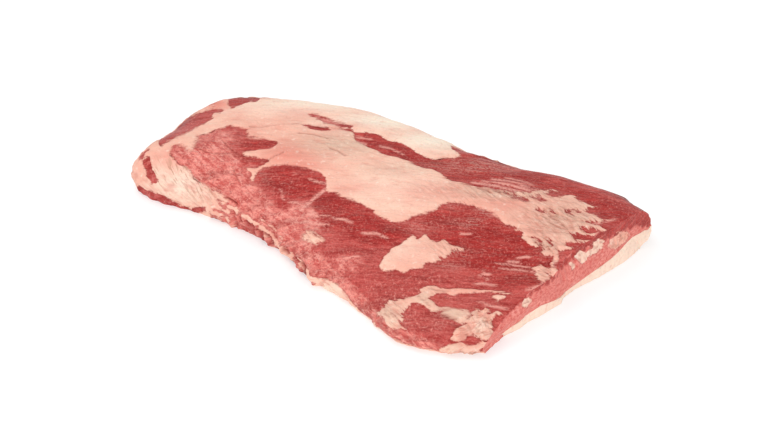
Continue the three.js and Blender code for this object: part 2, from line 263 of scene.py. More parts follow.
def pattern(name, u, v):
    noise, long, wide, layers, amount = PATTERNS[name]
    return amount * NOISES[noise].layers(u / long, v / wide, layers)


# ------------------------------------------------------------------------- ribs

SECTION = {
    name: through([(row[0], row[column]) for row in SECTIONS])
    for column, name in enumerate(SECTION_COLUMNS) if column > 0
}
rim_near, rim_end, rim_far = through(RIM_NEAR), through(RIM_END), through(RIM_FAR)


class Rib:
    """One rib's curve in its own plane, out from the crest and up."""

    def __init__(self, x, turn, **sizes):
        self.x, self.turn = x, turn
        self.taper = sizes.pop("taper", 0)
        self.reach, self.round = sizes["reach"], sizes["round"]
        self.crest = float(SECTION["crest"](x))
        self.side_fat, self.under_fat = sizes["side_fat"], sizes["under_fat"]
        self.measure(float(SECTION["top"](x)), sizes["mid"], sizes["edge"])
        ragged = pattern("rim", *self.lay(self.length - sizes["rim"])[0])
        self.rim = sizes["rim"] + float(ragged * fade("rim_rag", sizes["rim"]))

    def measure(self, top, mid, edge):
        points = np.array([
            (-(self.reach - self.round) / 2, mid),
            (0, top),
            ((self.reach - self.round) / 2, mid),
            (self.reach - self.round, edge),
            (self.reach - SIDE["high_at"] * self.round, SIDE["high_z"] * edge),
            (self.reach, SIDE["wide_z"] * edge),
            (self.reach - SIDE["undercut"], 0),
        ])
        steps = np.sqrt(np.linalg.norm(np.diff(points, axis=0), axis=1))
        knots = np.concatenate([[0], np.cumsum(steps)])
        t = np.linspace(knots[1], knots[-1], FINE + 1)
        self.path = np.stack([through(np.stack([knots, points[:, k]], 1))(t) for k in (0, 1)], axis=1)
        self.walked = walk(self.path)
        self.length = self.walked[-1]

    def at(self, walked):
        """Points at distances from the crest. Below 0 they are mirrored there."""
        walked = np.asarray(walked, float)
        points = along(self.path, self.walked, np.abs(walked))
        points[..., 0] *= np.where(walked < 0, -1, 1)
        return points

    def outward(self, walked):
        half_step = 0.5
        ahead = self.at(np.asarray(walked) + half_step) - self.at(np.asarray(walked) - half_step)
        ahead /= np.linalg.norm(ahead, axis=-1, keepdims=True)
        return np.stack([-ahead[..., 1], ahead[..., 0]], axis=-1)

    def place(self, points):
        """From the rib's plane to the piece."""
        out, up = points[..., 0], points[..., 1]
        ahead = -math.sin(math.pi * self.turn) * out
        aside = -math.cos(math.pi * self.turn) * out * (1 + self.taper * ahead)
        y = self.crest + aside
        skew = SLICE["skew"] * fade("skew", self.x)
        lean = SLICE["lean"] * fade("lean", self.x)
        return np.stack([self.x + ahead + skew * y - lean * up - MIDDLE[0], y - MIDDLE[1], up], axis=-1)

    def lay(self, walked):
        """The skin unrolled flat: a place on the plane for distances walked."""
        walked = np.atleast_1d(np.asarray(walked, float))
        y = self.crest - math.cos(math.pi * self.turn) * walked
        skew = SLICE["skew"] * fade("skew", self.x)
        return np.stack([self.x - math.sin(math.pi * self.turn) * walked + skew * y, y], axis=-1)


def walk(path):
    """How far along a path each of its points is."""
    return np.concatenate([[0], np.cumsum(np.linalg.norm(np.diff(path, axis=0), axis=1))])


def along(path, walked, wanted):
    """The points at wanted distances along a path."""
    return np.stack([np.interp(wanted, walked, path[:, k]) for k in range(path.shape[1])], axis=-1)


def respaced(path, count):
    """A path cut again into even steps."""
    walked = walk(path)
    return along(path, walked, np.linspace(0, walked[-1], count + 1))


def side_sizes(x, is_far):
    """The sizes of a rib on the near or the far side."""
    side = "far" if is_far else "near"
    under_far = mix(FAT["under_far"], FAT["under_far_sliced"], float(fade("sliced", x)))
    sizes = {name: float(SECTION[f"{side}_{name}"](x)) for name in ("mid", "edge", "round")}
    return sizes | {
        "reach": abs(float(SECTION[side](x) - SECTION["crest"](x))),
        "rim": float((rim_far if is_far else rim_near)(x)),
        "side_fat": FAT["side_" + side],
        "under_fat": under_far if is_far else FAT["under_near"],
    }


POLE = (side_sizes(POLE_X, False), side_sizes(POLE_X, True))


def end_reach(turn):
    """The plan of the thick end: from the pole to the side at a turn."""
    across = np.where(turn < 0.5, POLE[0]["reach"], POLE[1]["reach"])
    squareness = mix(END["near_corner"], END["far_corner"], fade("far_corner", turn))
    ahead = np.sin(np.pi * turn) / END["reach"]
    aside = np.abs(np.cos(np.pi * turn)) / across
    lobe = END["lobe"] * np.exp(-(((turn - END["lobe_at"]) / END["lobe_wide"]) ** 2))
    return (ahead**squareness + aside**squareness) ** (-1 / squareness) + lobe


def end_rib(turn):
    """A rib of the thick end, whose sizes go from those beside the pole to its own."""
    is_far = turn >= 0.5
    beside = POLE[1 if is_far else 0]
    away = float(smooth(1 if is_far else 0, 0.5, turn))
    side = SECTION["far" if is_far else "near"]
    slope = float(side(POLE_X + 1) - side(POLE_X))
    under_fat = (FAT["under_near"] + FAT["under_far"]) / 2
    own = {"mid": END["mid"], "edge": END["edge"], "round": END["round"], "side_fat": FAT["side_end"]}
    sizes = {name: mix(beside[name], size, away) for name, size in (own | {"under_fat": under_fat}).items()}
    taper = slope / float(side(POLE_X) - SECTION["crest"](POLE_X))
    return Rib(POLE_X, turn, taper=taper, reach=float(end_reach(turn)), rim=float(rim_end(turn)), **sizes)


def all_ribs():
    """Sliced end, near side, thick end, far side, sliced end."""
    xs = np.linspace(SLICE_X, POLE_X, COUNTS["length"] + 1)
    fine = np.linspace(0, 1, 4 * FINE + 1)
    outline = end_reach(fine)[:, None] * np.stack([-np.sin(np.pi * fine), -np.cos(np.pi * fine)], axis=1)
    walked = walk(outline)
    turns = np.interp(np.linspace(0, walked[-1], COUNTS["end"] + 2)[1:-1], walked, fine)
    near = [Rib(x, 0.0, **side_sizes(x, False)) for x in xs]
    far = [Rib(x, 1.0, **side_sizes(x, True)) for x in xs[::-1]]
    ribs = near + [end_rib(turn) for turn in turns] + far
    feet = walk(np.array([rib.place(rib.at(rib.length)) for rib in ribs]))
    for rib, around in zip(ribs, feet):
        rib.around = around
    return ribs


# ----------------------------------------------------------------- the surfaces

SKIN, HIDDEN, CUT, UNDER = range(4)


class Surface:
    """Triangles over points that know where they lie on the unrolled skin."""

    FIELDS = ("kind", "foot", "above", "around", "turn")

    def __init__(self):
        self.points, self.laid, self.faces, self.skin = [], [], [], None
        self.fields = {name: [] for name in self.FIELDS}
        self.count = 0

    def add(self, points, laid, kind, **fields):
        """Keeps points with what is known of them, and returns their numbers."""
        count = len(points)
        self.points.append(np.asarray(points, float))
        self.laid.append(np.broadcast_to(np.asarray(laid, float), (count, 2)))
        for name, store in self.fields.items():
            value = kind if name == "kind" else fields.get(name, 0.0)
            store.append(np.broadcast_to(np.asarray(value, float), (count,)))
        self.count += count
        return np.arange(self.count - count, self.count)

    def weave(self, rows, flip=False):
        """Two triangles in every square of a table of point numbers."""
        rows = np.array(rows)
        a, b, c, d = rows[:-1, :-1], rows[:-1, 1:], rows[1:, 1:], rows[1:, :-1]
        two = np.concatenate([np.stack([a, b, c], -1).reshape(-1, 3), np.stack([a, c, d], -1).reshape(-1, 3)])
        self.faces.append(two[:, ::-1] if flip else two)

    def stitch(self, left, right, flip=False):
        """Triangles between two chains with different numbers of points."""
        points = np.concatenate(self.points)
        found = []
        i = j = 0
        while i + 1 < len(left) or j + 1 < len(right):
            go_left = math.inf if i + 1 == len(left) else math.dist(points[left[i + 1]], points[right[j]])
            go_right = math.inf if j + 1 == len(right) else math.dist(points[left[i]], points[right[j + 1]])
            if go_left <= go_right:
                found.append((left[i], right[j], left[i + 1]))
                i += 1
            else:
                found.append((left[i], right[j], right[j + 1]))
                j += 1
        found = np.array(found)
        self.faces.append(found[:, ::-1] if flip else found)

    def cut_face(self, outer, inner, flip):
        """A flat face between two chains that both start at the fat's rim."""
        points = np.concatenate(self.points)
        outer_even, inner_even = (respaced(points[chain], COUNTS["cut_long"]) for chain in (outer, inner))
        levels = [mix(outer_even, inner_even, share) for share in np.linspace(0, 1, COUNTS["cut"] + 1)]
        rows = [self.add(level, level[:, 1:] + CUT_SPOT, CUT) for level in levels]
        outer_copy, inner_copy = (
            self.add(points[chain], points[chain][:, 1:] + CUT_SPOT, CUT) for chain in (outer, inner)
        )
        self.weave(rows[1:-1], not flip)
        self.stitch(outer_copy, rows[1], not flip)
        self.stitch(rows[-2], inner_copy, not flip)

    def arrays(self):
        stores = {"points": self.points, "laid": self.laid} | self.fields
        return {name: np.concatenate(store) for name, store in stores.items()}


def inside_row(rib):
    """The inside face of the fat: from the rim down, and back under the crest."""
    walked = np.linspace(rib.length - rib.rim, rib.length, FINE + 1)
    thick = mix(FAT["rim"], rib.side_fat, fade("rim_taper", walked - walked[0]))
    side = rib.at(walked) - rib.outward(walked) * thick[:, None]
    side = side[(np.arange(len(side)) == 0) | (side[:, 1] > rib.under_fat + FAT["corner"])]
    out = np.linspace(1, 0, FINE + 1)
    edge = side[-1, 0] - FAT["corner"]
    under = np.stack([edge * out, mix(FAT["under_crest"], rib.under_fat, smooth(0, 1, out))], axis=1)
    return respaced(np.concatenate([side, under]), COUNTS["inside"])


def facing_row(start, inside):
    """The lean's face against the fat: the same row moved off by the seam."""
    step = np.diff(np.concatenate([start[None], inside]), axis=0)
    step /= np.linalg.norm(step, axis=1, keepdims=True)
    before = np.stack([step[:, 1], -step[:, 0]], axis=1)
    after = np.concatenate([before[1:], [(0, 1)]])
    before[-1] = after[-1]
    return inside + (before + after) * (SEAM / (1 + (before * after).sum(axis=1)))[:, None]


# Places beside the unrolled skin for the faces that aren't skin.
HIDDEN_SPOT, HIDDEN_SHRINK = np.array([0, -420]), 0.3
CUT_SPOT = np.array([-60, -250])
UNDER_SPOT = np.array([0, -330])


def add_skin(surface, rib, walked):
    """A row of skin that knows how far it is from the foot and the fat's rim."""
    places = {"foot": rib.length - walked, "above": rib.length - rib.rim - walked}
    return surface.add(
        rib.place(rib.at(walked)), rib.lay(walked), SKIN, around=rib.around, turn=rib.turn, **places
    )


def add_hidden(surface, points):
    return surface.add(points, points[:, :2] * HIDDEN_SHRINK + HIDDEN_SPOT, HIDDEN)


def lean_surface(ribs):
    surface = Surface()
    tops, faces = [], []
    for rib in ribs:
        rim_at = rib.length - rib.rim
        tops.append(add_skin(surface, rib, np.linspace(0, rim_at - SEAM, COUNTS["top"] + 1)))
        faces.append(add_hidden(surface, rib.place(facing_row(rib.at(rim_at), inside_row(rib)))))
    surface.skin = np.array(tops)
    surface.weave(tops, flip=True)
    surface.weave([[top[-1], *row] for top, row in zip(tops, faces)], flip=True)
    for end, flip in ((0, True), (-1, False)):
        skin = tops[end][::-1]
        surface.cut_face(skin, np.concatenate([skin[:1], faces[end]]), flip)
    return surface


def fat_surface(ribs):
    surface = Surface()
    skins, faces, unders = [], [], []
    for rib in ribs:
        walked = np.linspace(rib.length - rib.rim, rib.length, COUNTS["skin"] + 1)
        skins.append(add_skin(surface, rib, walked))
        faces.append(add_hidden(surface, rib.place(inside_row(rib))))
        out = np.linspace(1, 0, COUNTS["under"] + 1)[1:] * (rib.reach - SIDE["undercut"])
        under = rib.place(np.stack([out, 0 * out], axis=1))
        unders.append(surface.add(under, under[:, :2] * (1, -1) + UNDER_SPOT, UNDER))
    surface.skin = np.array(skins)
    surface.weave(skins, flip=True)
    surface.weave([[skin[0], *row] for skin, row in zip(skins, faces)])
    surface.weave([[skin[-1], *row] for skin, row in zip(skins, unders)], flip=True)
    for end, flip in ((0, False), (-1, True)):
        outer = np.concatenate([skins[end], unders[end]])
        surface.cut_face(outer, np.concatenate([skins[end][:1], faces[end]]), flip)
    return surface


# ------------------------------------------------------ outlines on the picture

# What shows on the skin, as closed outlines in the picture's pixels. A smooth
# curve goes through the points, and noise frays it. First the thin fat that is
# left on the lean.
FAT_OUTLINES = {
    "sheet": (
        (243, 153), (256, 151), (271, 149), (277, 143), (264, 139), (250, 138.5), (248, 131), (258, 126),
        (300, 120), (340, 129.5), (353, 133.5), (355, 141), (362, 144), (371, 148), (382, 154), (394, 157),
        (408, 162), (418, 168), (436, 172), (448, 180), (462, 183), (474, 187), (488, 189), (502, 192),
        (516, 193), (530, 193), (545, 190), (557, 190), (560, 198), (568, 195), (578, 201), (592, 205),
        (604, 209), (604, 218), (613, 221), (602, 227), (607, 232), (592, 242), (578, 246), (562, 251),
        (556, 254), (554, 263), (550, 257), (540, 250), (530, 246), (524, 239), (519, 231), (510, 226),
        (492, 214), (474, 207), (455, 203), (442, 206), (434, 212), (418, 216), (404, 222), (388, 221),
        (374, 213), (364, 205), (350, 200), (333, 193.5), (326, 190), (327, 180), (318, 172.5), (300, 168),
        (280, 165), (266, 168), (257, 172), (254, 181), (251, 179), (252, 173), (248, 169.5), (258, 168),
        (269, 161), (258, 158), (246, 156),
    ),
    "island": (
        (379, 268), (384, 259), (391, 250), (401, 245), (407, 240), (413, 235), (417, 240), (421, 237),
        (426, 234.5), (430, 240), (437, 243), (443, 240), (448, 244), (456, 247), (467, 249), (452, 252),
        (446, 257), (440, 258), (437, 263), (428, 263), (421, 268), (411, 269), (405, 272), (396, 270),
        (388, 272),
    ),
    "branch": (
        (424, 287), (436, 288), (450, 290), (464, 289), (480, 290), (496, 291), (510, 294), (495, 293),
        (480, 292), (468, 294.5), (458, 294), (451, 296), (446, 293), (437, 293), (431, 297), (434, 302),
        (439, 306.5), (448, 307), (458, 308.5), (470, 311), (454, 312), (440, 310), (430, 312), (424, 308),
        (417, 303), (411, 305), (406, 310), (403, 317), (398, 324), (408, 329), (396, 329), (389, 325),
        (385, 319), (376, 315), (382, 309), (387, 303), (396, 301), (409, 299.5), (418, 295),
    ),
    "lump": (
        (463, 326), (466, 321), (470, 317), (468, 314), (474, 313), (477, 309), (480, 312), (485, 310),
        (489, 314), (493, 315), (496, 312), (502, 315), (497, 318), (494, 322), (490, 321), (492, 327),
        (492, 333), (487, 340), (478, 338), (470, 335), (466, 337), (463, 341), (456, 341), (454, 337),
        (454, 330),
    ),
    "lump_foot": (
        (440, 349), (446, 346), (452, 344), (462, 343), (472, 345), (480, 342), (487, 341), (486, 346),
        (481, 350), (478, 356), (466, 355), (452, 354),
    ),
    "lobe_patch": ((303, 236), (309, 232), (316, 235), (325, 241), (318, 243), (309, 242)),
    "membrane": ((440, 313), (450, 310), (462, 310), (470, 314), (464, 324), (456, 322), (448, 317)),
    "end_notch": ((174, 136), (196, 130), (198, 138), (195, 146), (190, 151), (184, 147), (176, 144)),
    "top_strip": (
        (196, 124), (212, 114), (240, 112), (264, 114), (262, 126), (251, 130), (243, 129), (230, 126.5),
        (221, 128.5), (211, 130.5), (206, 133), (199, 133),
    ),
    "cut_side_patch": ((534, 268), (542, 265), (547, 270), (550, 277), (547, 282), (541, 281), (537, 276)),
    "cut_side_drop": ((553, 257), (558, 260), (556, 267), (558, 276), (552, 277), (548, 272), (552, 266)),
    "drop": ((491, 297), (499, 295), (506, 298), (499, 301)),
    "cut_drop": ((524, 300), (530, 299), (531, 307), (526, 308)),
}
# Holes in the sheet's thin end.
HOLES = (
    ((511, 194), (519, 195), (529, 201), (520, 202), (514, 198)),
    ((531, 196), (539, 196.5), (547, 202.5), (538, 202)),
    ((545, 192), (551, 190), (558, 191), (559, 197), (551, 198)),
    ((539, 210), (544, 210.5), (544, 214), (540, 214)),
    ((550, 208), (555, 211), (557, 216), (552, 213)),
    ((566, 209.5), (571, 211), (574, 214), (568, 213)),
    ((575, 209.5), (580, 212), (578, 214.5)),
    ((582, 211), (590, 208), (604, 206.5), (624, 205), (624, 220), (606, 220), (598, 216), (590, 214)),
    ((588, 224), (598, 221.5), (614, 220.5), (614, 227), (598, 226)),
    ((582, 229), (592, 229), (602, 232), (592, 234), (585, 232)),
    ((565, 231), (572, 232.5), (586, 236), (598, 236.5), (592, 241), (578, 240), (570, 237)),
    ((567, 243), (578, 242), (588, 243), (578, 247), (569, 247)),
    ((529, 237), (534, 238.5), (541, 243), (536, 242.5)),
    ((534, 243.5), (540, 245), (547, 250), (541, 249)),
    ((545, 238), (550, 241), (554, 247), (549, 244.5)),
)
# Red muscle that shows through the fat's own skin: at the thick end, on the far
# side, under the end, and along the roll of fat on the far side.
RED_OUTLINES = (
    (
        (160, 146), (160, 134), (172, 124), (184, 114), (190, 117), (200, 112), (212, 108.5), (222, 108.5),
        (221, 111), (214, 112.5), (212, 118), (206, 122.5), (196, 127), (190, 131), (178, 137), (168, 141),
    ),
    ((230, 106), (231, 92), (260, 92), (258, 99.5), (246, 102), (237, 105)),
    (
        (147, 156), (150, 163), (153, 170), (156, 178), (158, 183), (151, 184), (147, 178), (144, 170),
        (143, 162),
    ),
    ((139, 160), (142, 152), (148, 148), (146, 153), (143, 158)),
    (
        (130, 181), (138, 186), (147, 190), (158, 194), (166, 196.5), (172, 200.5), (180, 205.5),
        (190, 208.5), (190, 216), (168, 214), (140, 202),
    ),
    ((192, 208), (198, 208), (206, 206.5), (206, 212), (194, 212)),
    (
        (307, 112.5), (314, 113), (324, 117), (333, 120), (341, 124), (348, 126.5), (354, 129.5),
        (345, 128.5), (340, 129), (336, 126.5), (330, 124), (325, 123), (318, 118.5), (311, 115.5),
    ),
    ((302, 125), (312, 125), (329, 128.5), (323, 131), (310, 129)),
    ((451, 146), (462, 149), (476, 153), (494, 160), (490, 166), (474, 162), (462, 158), (455, 152)),
)
# The deepest red, and the pale lean that is trimmed across its fibres.
DEEP_RED = {
    "lobe_behind": (
        (255, 177), (264, 169), (282, 165), (308, 170.5), (325, 178), (326, 186), (313, 198), (290, 200),
        (272, 192), (260, 183),
    ),
    "lobe_small": ((275, 199), (298, 201), (305, 205), (295, 210), (279, 206)),
    "lobe_front": (
        (306, 212), (314, 199), (330, 193.5), (354, 202), (374, 214), (400, 225), (408, 236), (392, 246),
        (366, 246), (340, 236), (316, 226),
    ),
    "finger": ((232, 140), (250, 139), (270, 140), (277, 144), (262, 150), (244, 151)),
    "wedge": ((238, 157), (254, 157.5), (269, 161), (256, 168), (242, 165)),
    "far_strip": (
        (350, 135), (376, 134), (408, 146), (445, 160), (470, 160), (520, 174), (570, 186), (620, 204),
        (650, 222), (640, 230), (612, 222), (590, 210), (560, 190), (520, 188), (470, 182), (440, 172),
        (408, 163), (370, 147),
    ),
    "broad_red": (
        (440, 207), (470, 206), (508, 224), (536, 246), (556, 262), (548, 280), (520, 290), (490, 284),
        (462, 266), (446, 250), (430, 234), (420, 222),
    ),
}
TRIMMED_NEAR = (
    (166, 146), (190, 150), (210, 142), (228, 147), (240, 160), (248, 178), (268, 198), (284, 211),
    (298, 202), (314, 208), (320, 228), (310, 244), (328, 260), (350, 284), (374, 308), (396, 326),
    (420, 336), (440, 350), (400, 356), (330, 310), (250, 250), (205, 205), (186, 180), (172, 160),
)
# The trimmed near side, where fat and lean mix in bands along the edge.
NEAR_BAND = (
    (216, 200), (236, 206), (262, 222), (284, 240), (298, 251), (309, 264), (318, 286), (280, 274),
    (240, 240), (212, 224), (208, 210),
)

# Fat on the sliced end, along the seam between its two muscles, and the corner
# where the layer beneath has none.
CUT_FAT = (
    (
        (576, 255), (580, 251), (586, 252), (592, 247), (594, 243), (599, 239), (604, 241), (602, 247),
        (597, 252), (589, 256), (583, 263), (577, 259),
    ),
    ((609, 244), (613, 238), (620, 232), (627, 232), (629, 236), (624, 242), (617, 248), (611, 249)),
    ((523, 300), (529, 298), (531, 303), (527, 308), (523, 306)),
    ((570, 264), (573, 263), (574, 268), (571, 269)),
)
CUT_WITHOUT_FAT = ((474, 356), (480, 346), (498, 334), (503, 336), (500, 344), (486, 356))

# Open lines on the picture: half width, points.
LINES = {
    # Fine streaks of fat between the fibres.
    "streak": (
        (0.9, (333, 218), (344, 220), (352, 223)), (1.1, (362, 234), (376, 234.5), (387, 239)),
        (0.8, (346, 258), (358, 256)), (0.9, (476, 284), (486, 283), (497, 285)),
        (1.0, (480, 302), (488, 306), (507, 309)), (0.9, (508, 262), (519, 262)),
        (1.0, (518, 258), (529, 256)), (1.3, (528, 290), (538, 287), (547, 279)),
        (0.7, (308, 215), (318, 217), (330, 216)), (0.6, (304, 222), (316, 224), (328, 225)),
        (1.0, (310, 180), (318, 183), (327, 184)), (1.4, (326, 189), (317, 196), (307, 204), (301, 210)),
        (0.7, (460, 235), (472, 234)), (0.8, (472, 182), (490, 185), (506, 188.5), (520, 192)),
        (0.7, (482, 180.5), (500, 183.5), (516, 187), (532, 190.5)),
        (0.7, (492, 179), (510, 182), (526, 185.5)), (0.6, (520, 186), (534, 188.5), (546, 190)),
        (0.5, (506, 178), (520, 181), (532, 184.5)), (0.7, (428, 262), (440, 259)),
        (1.2, (556, 258), (556, 266), (552, 274)), (0.7, (590, 226), (602, 222), (614, 220)),
        (0.5, (280, 190), (283, 194), (282, 198), (285, 200)), (0.6, (289, 203), (297, 202), (303, 206)),
        (0.7, (500, 269), (518, 270), (536, 272)), (0.6, (498, 264), (514, 265.5), (530, 267)),
        (0.6, (352, 137), (362, 138), (372, 139.5)), (0.7, (356, 141), (366, 144)),
        (0.6, (380, 146), (392, 150), (404, 155)), (0.5, (396, 158), (412, 163)),
        (0.6, (316, 116), (328, 120), (338, 124)), (0.5, (322, 121), (331, 124), (339, 127)),
        (1.3, (481, 275), (489, 274)), (1.0, (484, 270), (486, 279)),
    ),
    # Streaks of pale fat along the band.
    "band_fat": (
        (2.8, (200, 186), (212, 192), (226, 199)), (2.2, (206, 199), (218, 205), (230, 212)),
        (1.6, (224, 203), (232, 208), (240, 213)), (2.1, (236, 209), (244, 214), (250, 219), (256, 223)),
        (1.9, (256, 223), (264, 228), (272, 236), (278, 243)), (2.4, (274, 242), (282, 248), (292, 257)),
        (1.7, (286, 249), (296, 257), (303, 265)), (2.6, (300, 266), (306, 270), (311, 276), (318, 281)),
        (1.8, (210, 208), (218, 214), (228, 219)), (0.8, (262, 219), (272, 227), (284, 238)),
    ),
    # Folds and creases, which the material darkens with painted shade.
    "crease": (
        (0.5, (250, 127.5), (262, 128.2), (285, 125.5), (302, 125.5)),
        (0.5, (299, 134.5), (314, 136), (328, 141)), (0.6, (330, 150), (338, 153), (346, 158)),
        (0.4, (268, 161), (276, 158), (284, 154)), (0.8, (462, 184.5), (472, 186), (482, 188)),
        (0.9, (477, 189.5), (490, 191.5)), (0.8, (497, 191.5), (506, 193)),
        (0.6, (545, 211), (550, 218), (556, 222), (563, 228)), (0.4, (528, 229), (540, 233), (546, 240)),
        (0.4, (532, 241), (540, 244), (550, 250)), (0.4, (233, 168), (236, 176), (240, 182)),
        (0.3, (200, 150), (214, 154), (228, 153)), (0.3, (222, 140), (232, 150), (244, 156)),
        (0.9, (443, 314.5), (449, 318), (456, 320)), (1.1, (452, 324), (457, 327), (462, 327)),
        (0.6, (486, 320), (487, 325), (485, 329)), (0.5, (463, 329), (464, 333), (467, 336)),
        (0.5, (474, 322), (480, 327), (479, 333)), (0.8, (460, 351), (468, 351), (476, 353)),
        (0.8, (488, 337), (491, 333)), (0.5, (419, 297), (425, 302), (430, 308)),
        (0.4, (428, 290), (438, 291), (448, 292.5)),
    ),
    # Open clefts between the lumps of the near edge and in the lean, which the material darkens with painted
    # shade.
    "gash": (
        (0.5, (227, 197), (232, 200), (237, 204.5)), (0.9, (241, 217), (241.5, 221)),
        (0.8, (246, 221), (250, 225)), (1.3, (253.5, 224), (254.5, 232)), (0.8, (259, 229), (263, 231)),
        (1.4, (262, 231), (264, 241)), (0.8, (266, 232), (270, 237), (273, 244)),
        (1.0, (285, 249), (289, 253)), (0.9, (296, 258), (299, 262)),
        (1.5, (302, 263), (304, 268), (305.5, 274)),
    ),
    # Dark ragged lean along the upper rim of the slice.
    "cut_rim": (
        (1.6, (500, 321), (512, 309), (524, 298), (534, 290)), (1.5, (536, 289), (548, 282), (557, 276)),
        (3.4, (560, 266), (568, 259), (580, 250)), (4.2, (580, 247), (592, 241), (602, 236)),
        (5.5, (602, 236), (612, 231), (624, 225)), (8.5, (618, 225), (634, 218), (650, 219)),
    ),
}

# Soft round spots: x, y, half width, half height, amount.
SPOTS = {
    # Painted shade along the outline that shows, where the rounded edge of the piece turns away from the
    # camera.
    "edge_shade": (
        (156, 148, 24, 12, 0.5), (137, 170, 10, 16, 0.3), (160, 198, 34, 10, 0.8), (200, 209, 12, 6, 0.7),
        (246, 232, 26, 12, 0.5), (184, 124, 24, 16, 0.8), (212, 104, 22, 8, 0.6), (245, 99, 20, 6, 1.2),
        (468, 352, 20, 6, 0.6), (500, 166, 46, 12, 0.8), (580, 186, 60, 16, 0.8), (635, 210, 24, 16, 0.6),
    ),
    # Tones of the fat.
    "grey": (
        (335, 146, 46, 12, 1.0), (400, 170, 44, 8, 0.5), (500, 194, 50, 7, 0.9), (560, 222, 34, 18, 0.7),
        (545, 245, 16, 8, 0.6), (455, 316, 14, 6, 0.9), (445, 312, 14, 5, 0.9), (452, 346, 10, 5, 0.6),
        (390, 315, 16, 13, 0.8), (424, 300, 11, 9, 0.7),
    ),
    "pink": (
        (292, 154, 36, 16, 1.3), (300, 166, 28, 6, 1.2), (250, 133, 22, 8, 0.5), (345, 190, 22, 8, 0.6),
        (450, 194, 46, 9, 0.8), (500, 205, 50, 12, 0.8), (545, 222, 40, 18, 0.75), (170, 156, 22, 14, 0.6),
        (205, 182, 22, 16, 0.4), (480, 326, 16, 12, 0.2), (468, 345, 16, 7, 0.6), (420, 258, 26, 14, 0.35),
        (300, 112, 26, 7, 0.6), (216, 104, 18, 5, 1.3), (142, 172, 9, 14, 0.5), (340, 129, 22, 5, 0.9),
        (400, 315, 16, 12, 0.3), (240, 112, 14, 6, 0.4), (270, 128, 30, 6, 0.5), (465, 291, 44, 4, 0.4),
        (432, 308, 20, 5, 0.3),
    ),
    "bright": (
        (310, 106, 60, 9, 1.0), (385, 122, 56, 12, 1.0), (430, 142, 40, 12, 1.0), (250, 108, 30, 7, 0.5),
        (395, 190, 60, 20, 0.3), (186, 184, 26, 16, 0.8), (330, 290, 24, 8, 0.55), (160, 176, 14, 14, 0.4),
        (480, 328, 12, 10, 0.6), (400, 252, 20, 10, 0.3), (466, 349, 16, 5, 0.5),
    ),
    # Where fat fades into lean, and where it is a thin veil over it.
    "soft": (
        (240, 140, 26, 16, 0.9), (290, 168, 30, 8, 0.35), (200, 150, 34, 26, 0.9), (350, 198, 30, 9, 0.5),
        (408, 166, 34, 10, 0.5), (480, 190, 44, 12, 0.9), (430, 214, 24, 8, 0.4), (500, 214, 34, 10, 0.5),
        (440, 250, 16, 10, 0.6), (455, 314, 20, 10, 0.9), (312, 238, 22, 12, 0.8), (545, 272, 18, 14, 0.5),
        (200, 178, 22, 16, 1.0), (216, 192, 18, 10, 0.8), (535, 205, 30, 10, 0.5), (188, 144, 16, 12, 0.6),
        (216, 104, 16, 5, 0.9), (332, 122, 26, 7, 0.5),
    ),
    "veil": (
        (418, 227, 26, 6, 0.7), (470, 222, 18, 6, 0.9), (478, 166, 54, 8, 1.2), (500, 190, 44, 8, 1.0),
        (530, 198, 30, 7, 1.0), (456, 252, 16, 5, 0.9), (448, 265, 16, 5, 0.7), (440, 325, 12, 8, 0.5),
        (452, 206, 30, 5, 0.5), (492, 211, 20, 6, 1.1), (524, 198, 30, 6, 1.4), (560, 211, 30, 6, 0.9),
        (455, 316, 20, 9, 0.8), (318, 226, 18, 16, 0.5), (264, 176, 10, 16, 0.5), (312, 239, 10, 5, 1.5),
        (308, 222, 7, 14, 0.9), (268, 158, 20, 8, 0.3), (520, 276, 30, 8, 0.3), (330, 212, 26, 6, 0.25),
        (232, 146, 20, 12, 0.3), (430, 302, 50, 6, 0.3), (300, 206, 12, 8, 0.6), (548, 252, 14, 8, 0.5),
        (392, 319, 18, 11, 1.0), (506, 227, 12, 5, 0.4),
    ),
    # Where the lean is trimmed pale.
    "pale": (
        (212, 138, 34, 11, 0.85), (240, 172, 22, 14, 0.7), (346, 264, 30, 16, 0.6), (464, 227, 12, 5, 0.4),
    ),
    # Where the fat is torn into strands, and where it lies in steep fine wrinkles.
    "torn": (
        (556, 222, 44, 20, 1.0), (505, 196, 52, 9, 0.9), (450, 190, 36, 7, 0.6), (545, 247, 18, 10, 0.9),
        (475, 326, 26, 18, 0.5), (442, 256, 14, 12, 0.35), (392, 314, 16, 16, 1.0), (430, 290, 14, 10, 0.4),
        (446, 249, 20, 10, 0.7), (186, 186, 34, 22, 0.5), (212, 192, 20, 12, 0.8), (590, 248, 30, 12, 0.5),
        (545, 272, 16, 12, 0.7), (250, 165, 20, 10, 0.3), (313, 238, 16, 10, 0.9),
    ),
    "wrinkle": (
        (178, 172, 24, 16, 1.0), (200, 190, 18, 12, 0.9), (160, 176, 14, 16, 0.8), (560, 222, 30, 14, 0.5),
        (480, 326, 18, 12, 0.6),
    ),
    # Where the lean is grainy instead of fibrous, with dark pits and light specks painted as highlights.
    "speck": (
        (390, 304, 50, 28, 1.0), (330, 268, 34, 20, 0.8), (505, 262, 50, 18, 0.6), (220, 176, 40, 26, 0.5),
        (285, 184, 24, 12, 0.5), (625, 206, 30, 14, 0.7), (420, 325, 30, 14, 0.9), (190, 122, 24, 14, 0.9),
        (450, 222, 30, 10, 0.7), (350, 222, 30, 12, 0.5), (425, 278, 30, 10, 0.9),
    ),
}


def smooth_outline(points, steps=4):
    """A closed curve through the points."""
    points = np.array(points, float)
    before, after, beyond = (np.roll(points, shift, axis=0) for shift in (1, -1, -2))
    share = (np.arange(steps) / steps)[:, None, None]
    bend = (2 * before - 5 * points + 4 * after - beyond) * share**2
    twist = (3 * (points - after) + beyond - before) * share**3
    curve = points + ((after - before) * share + bend + twist) / 2
    return curve.transpose(1, 0, 2).reshape(-1, 2)


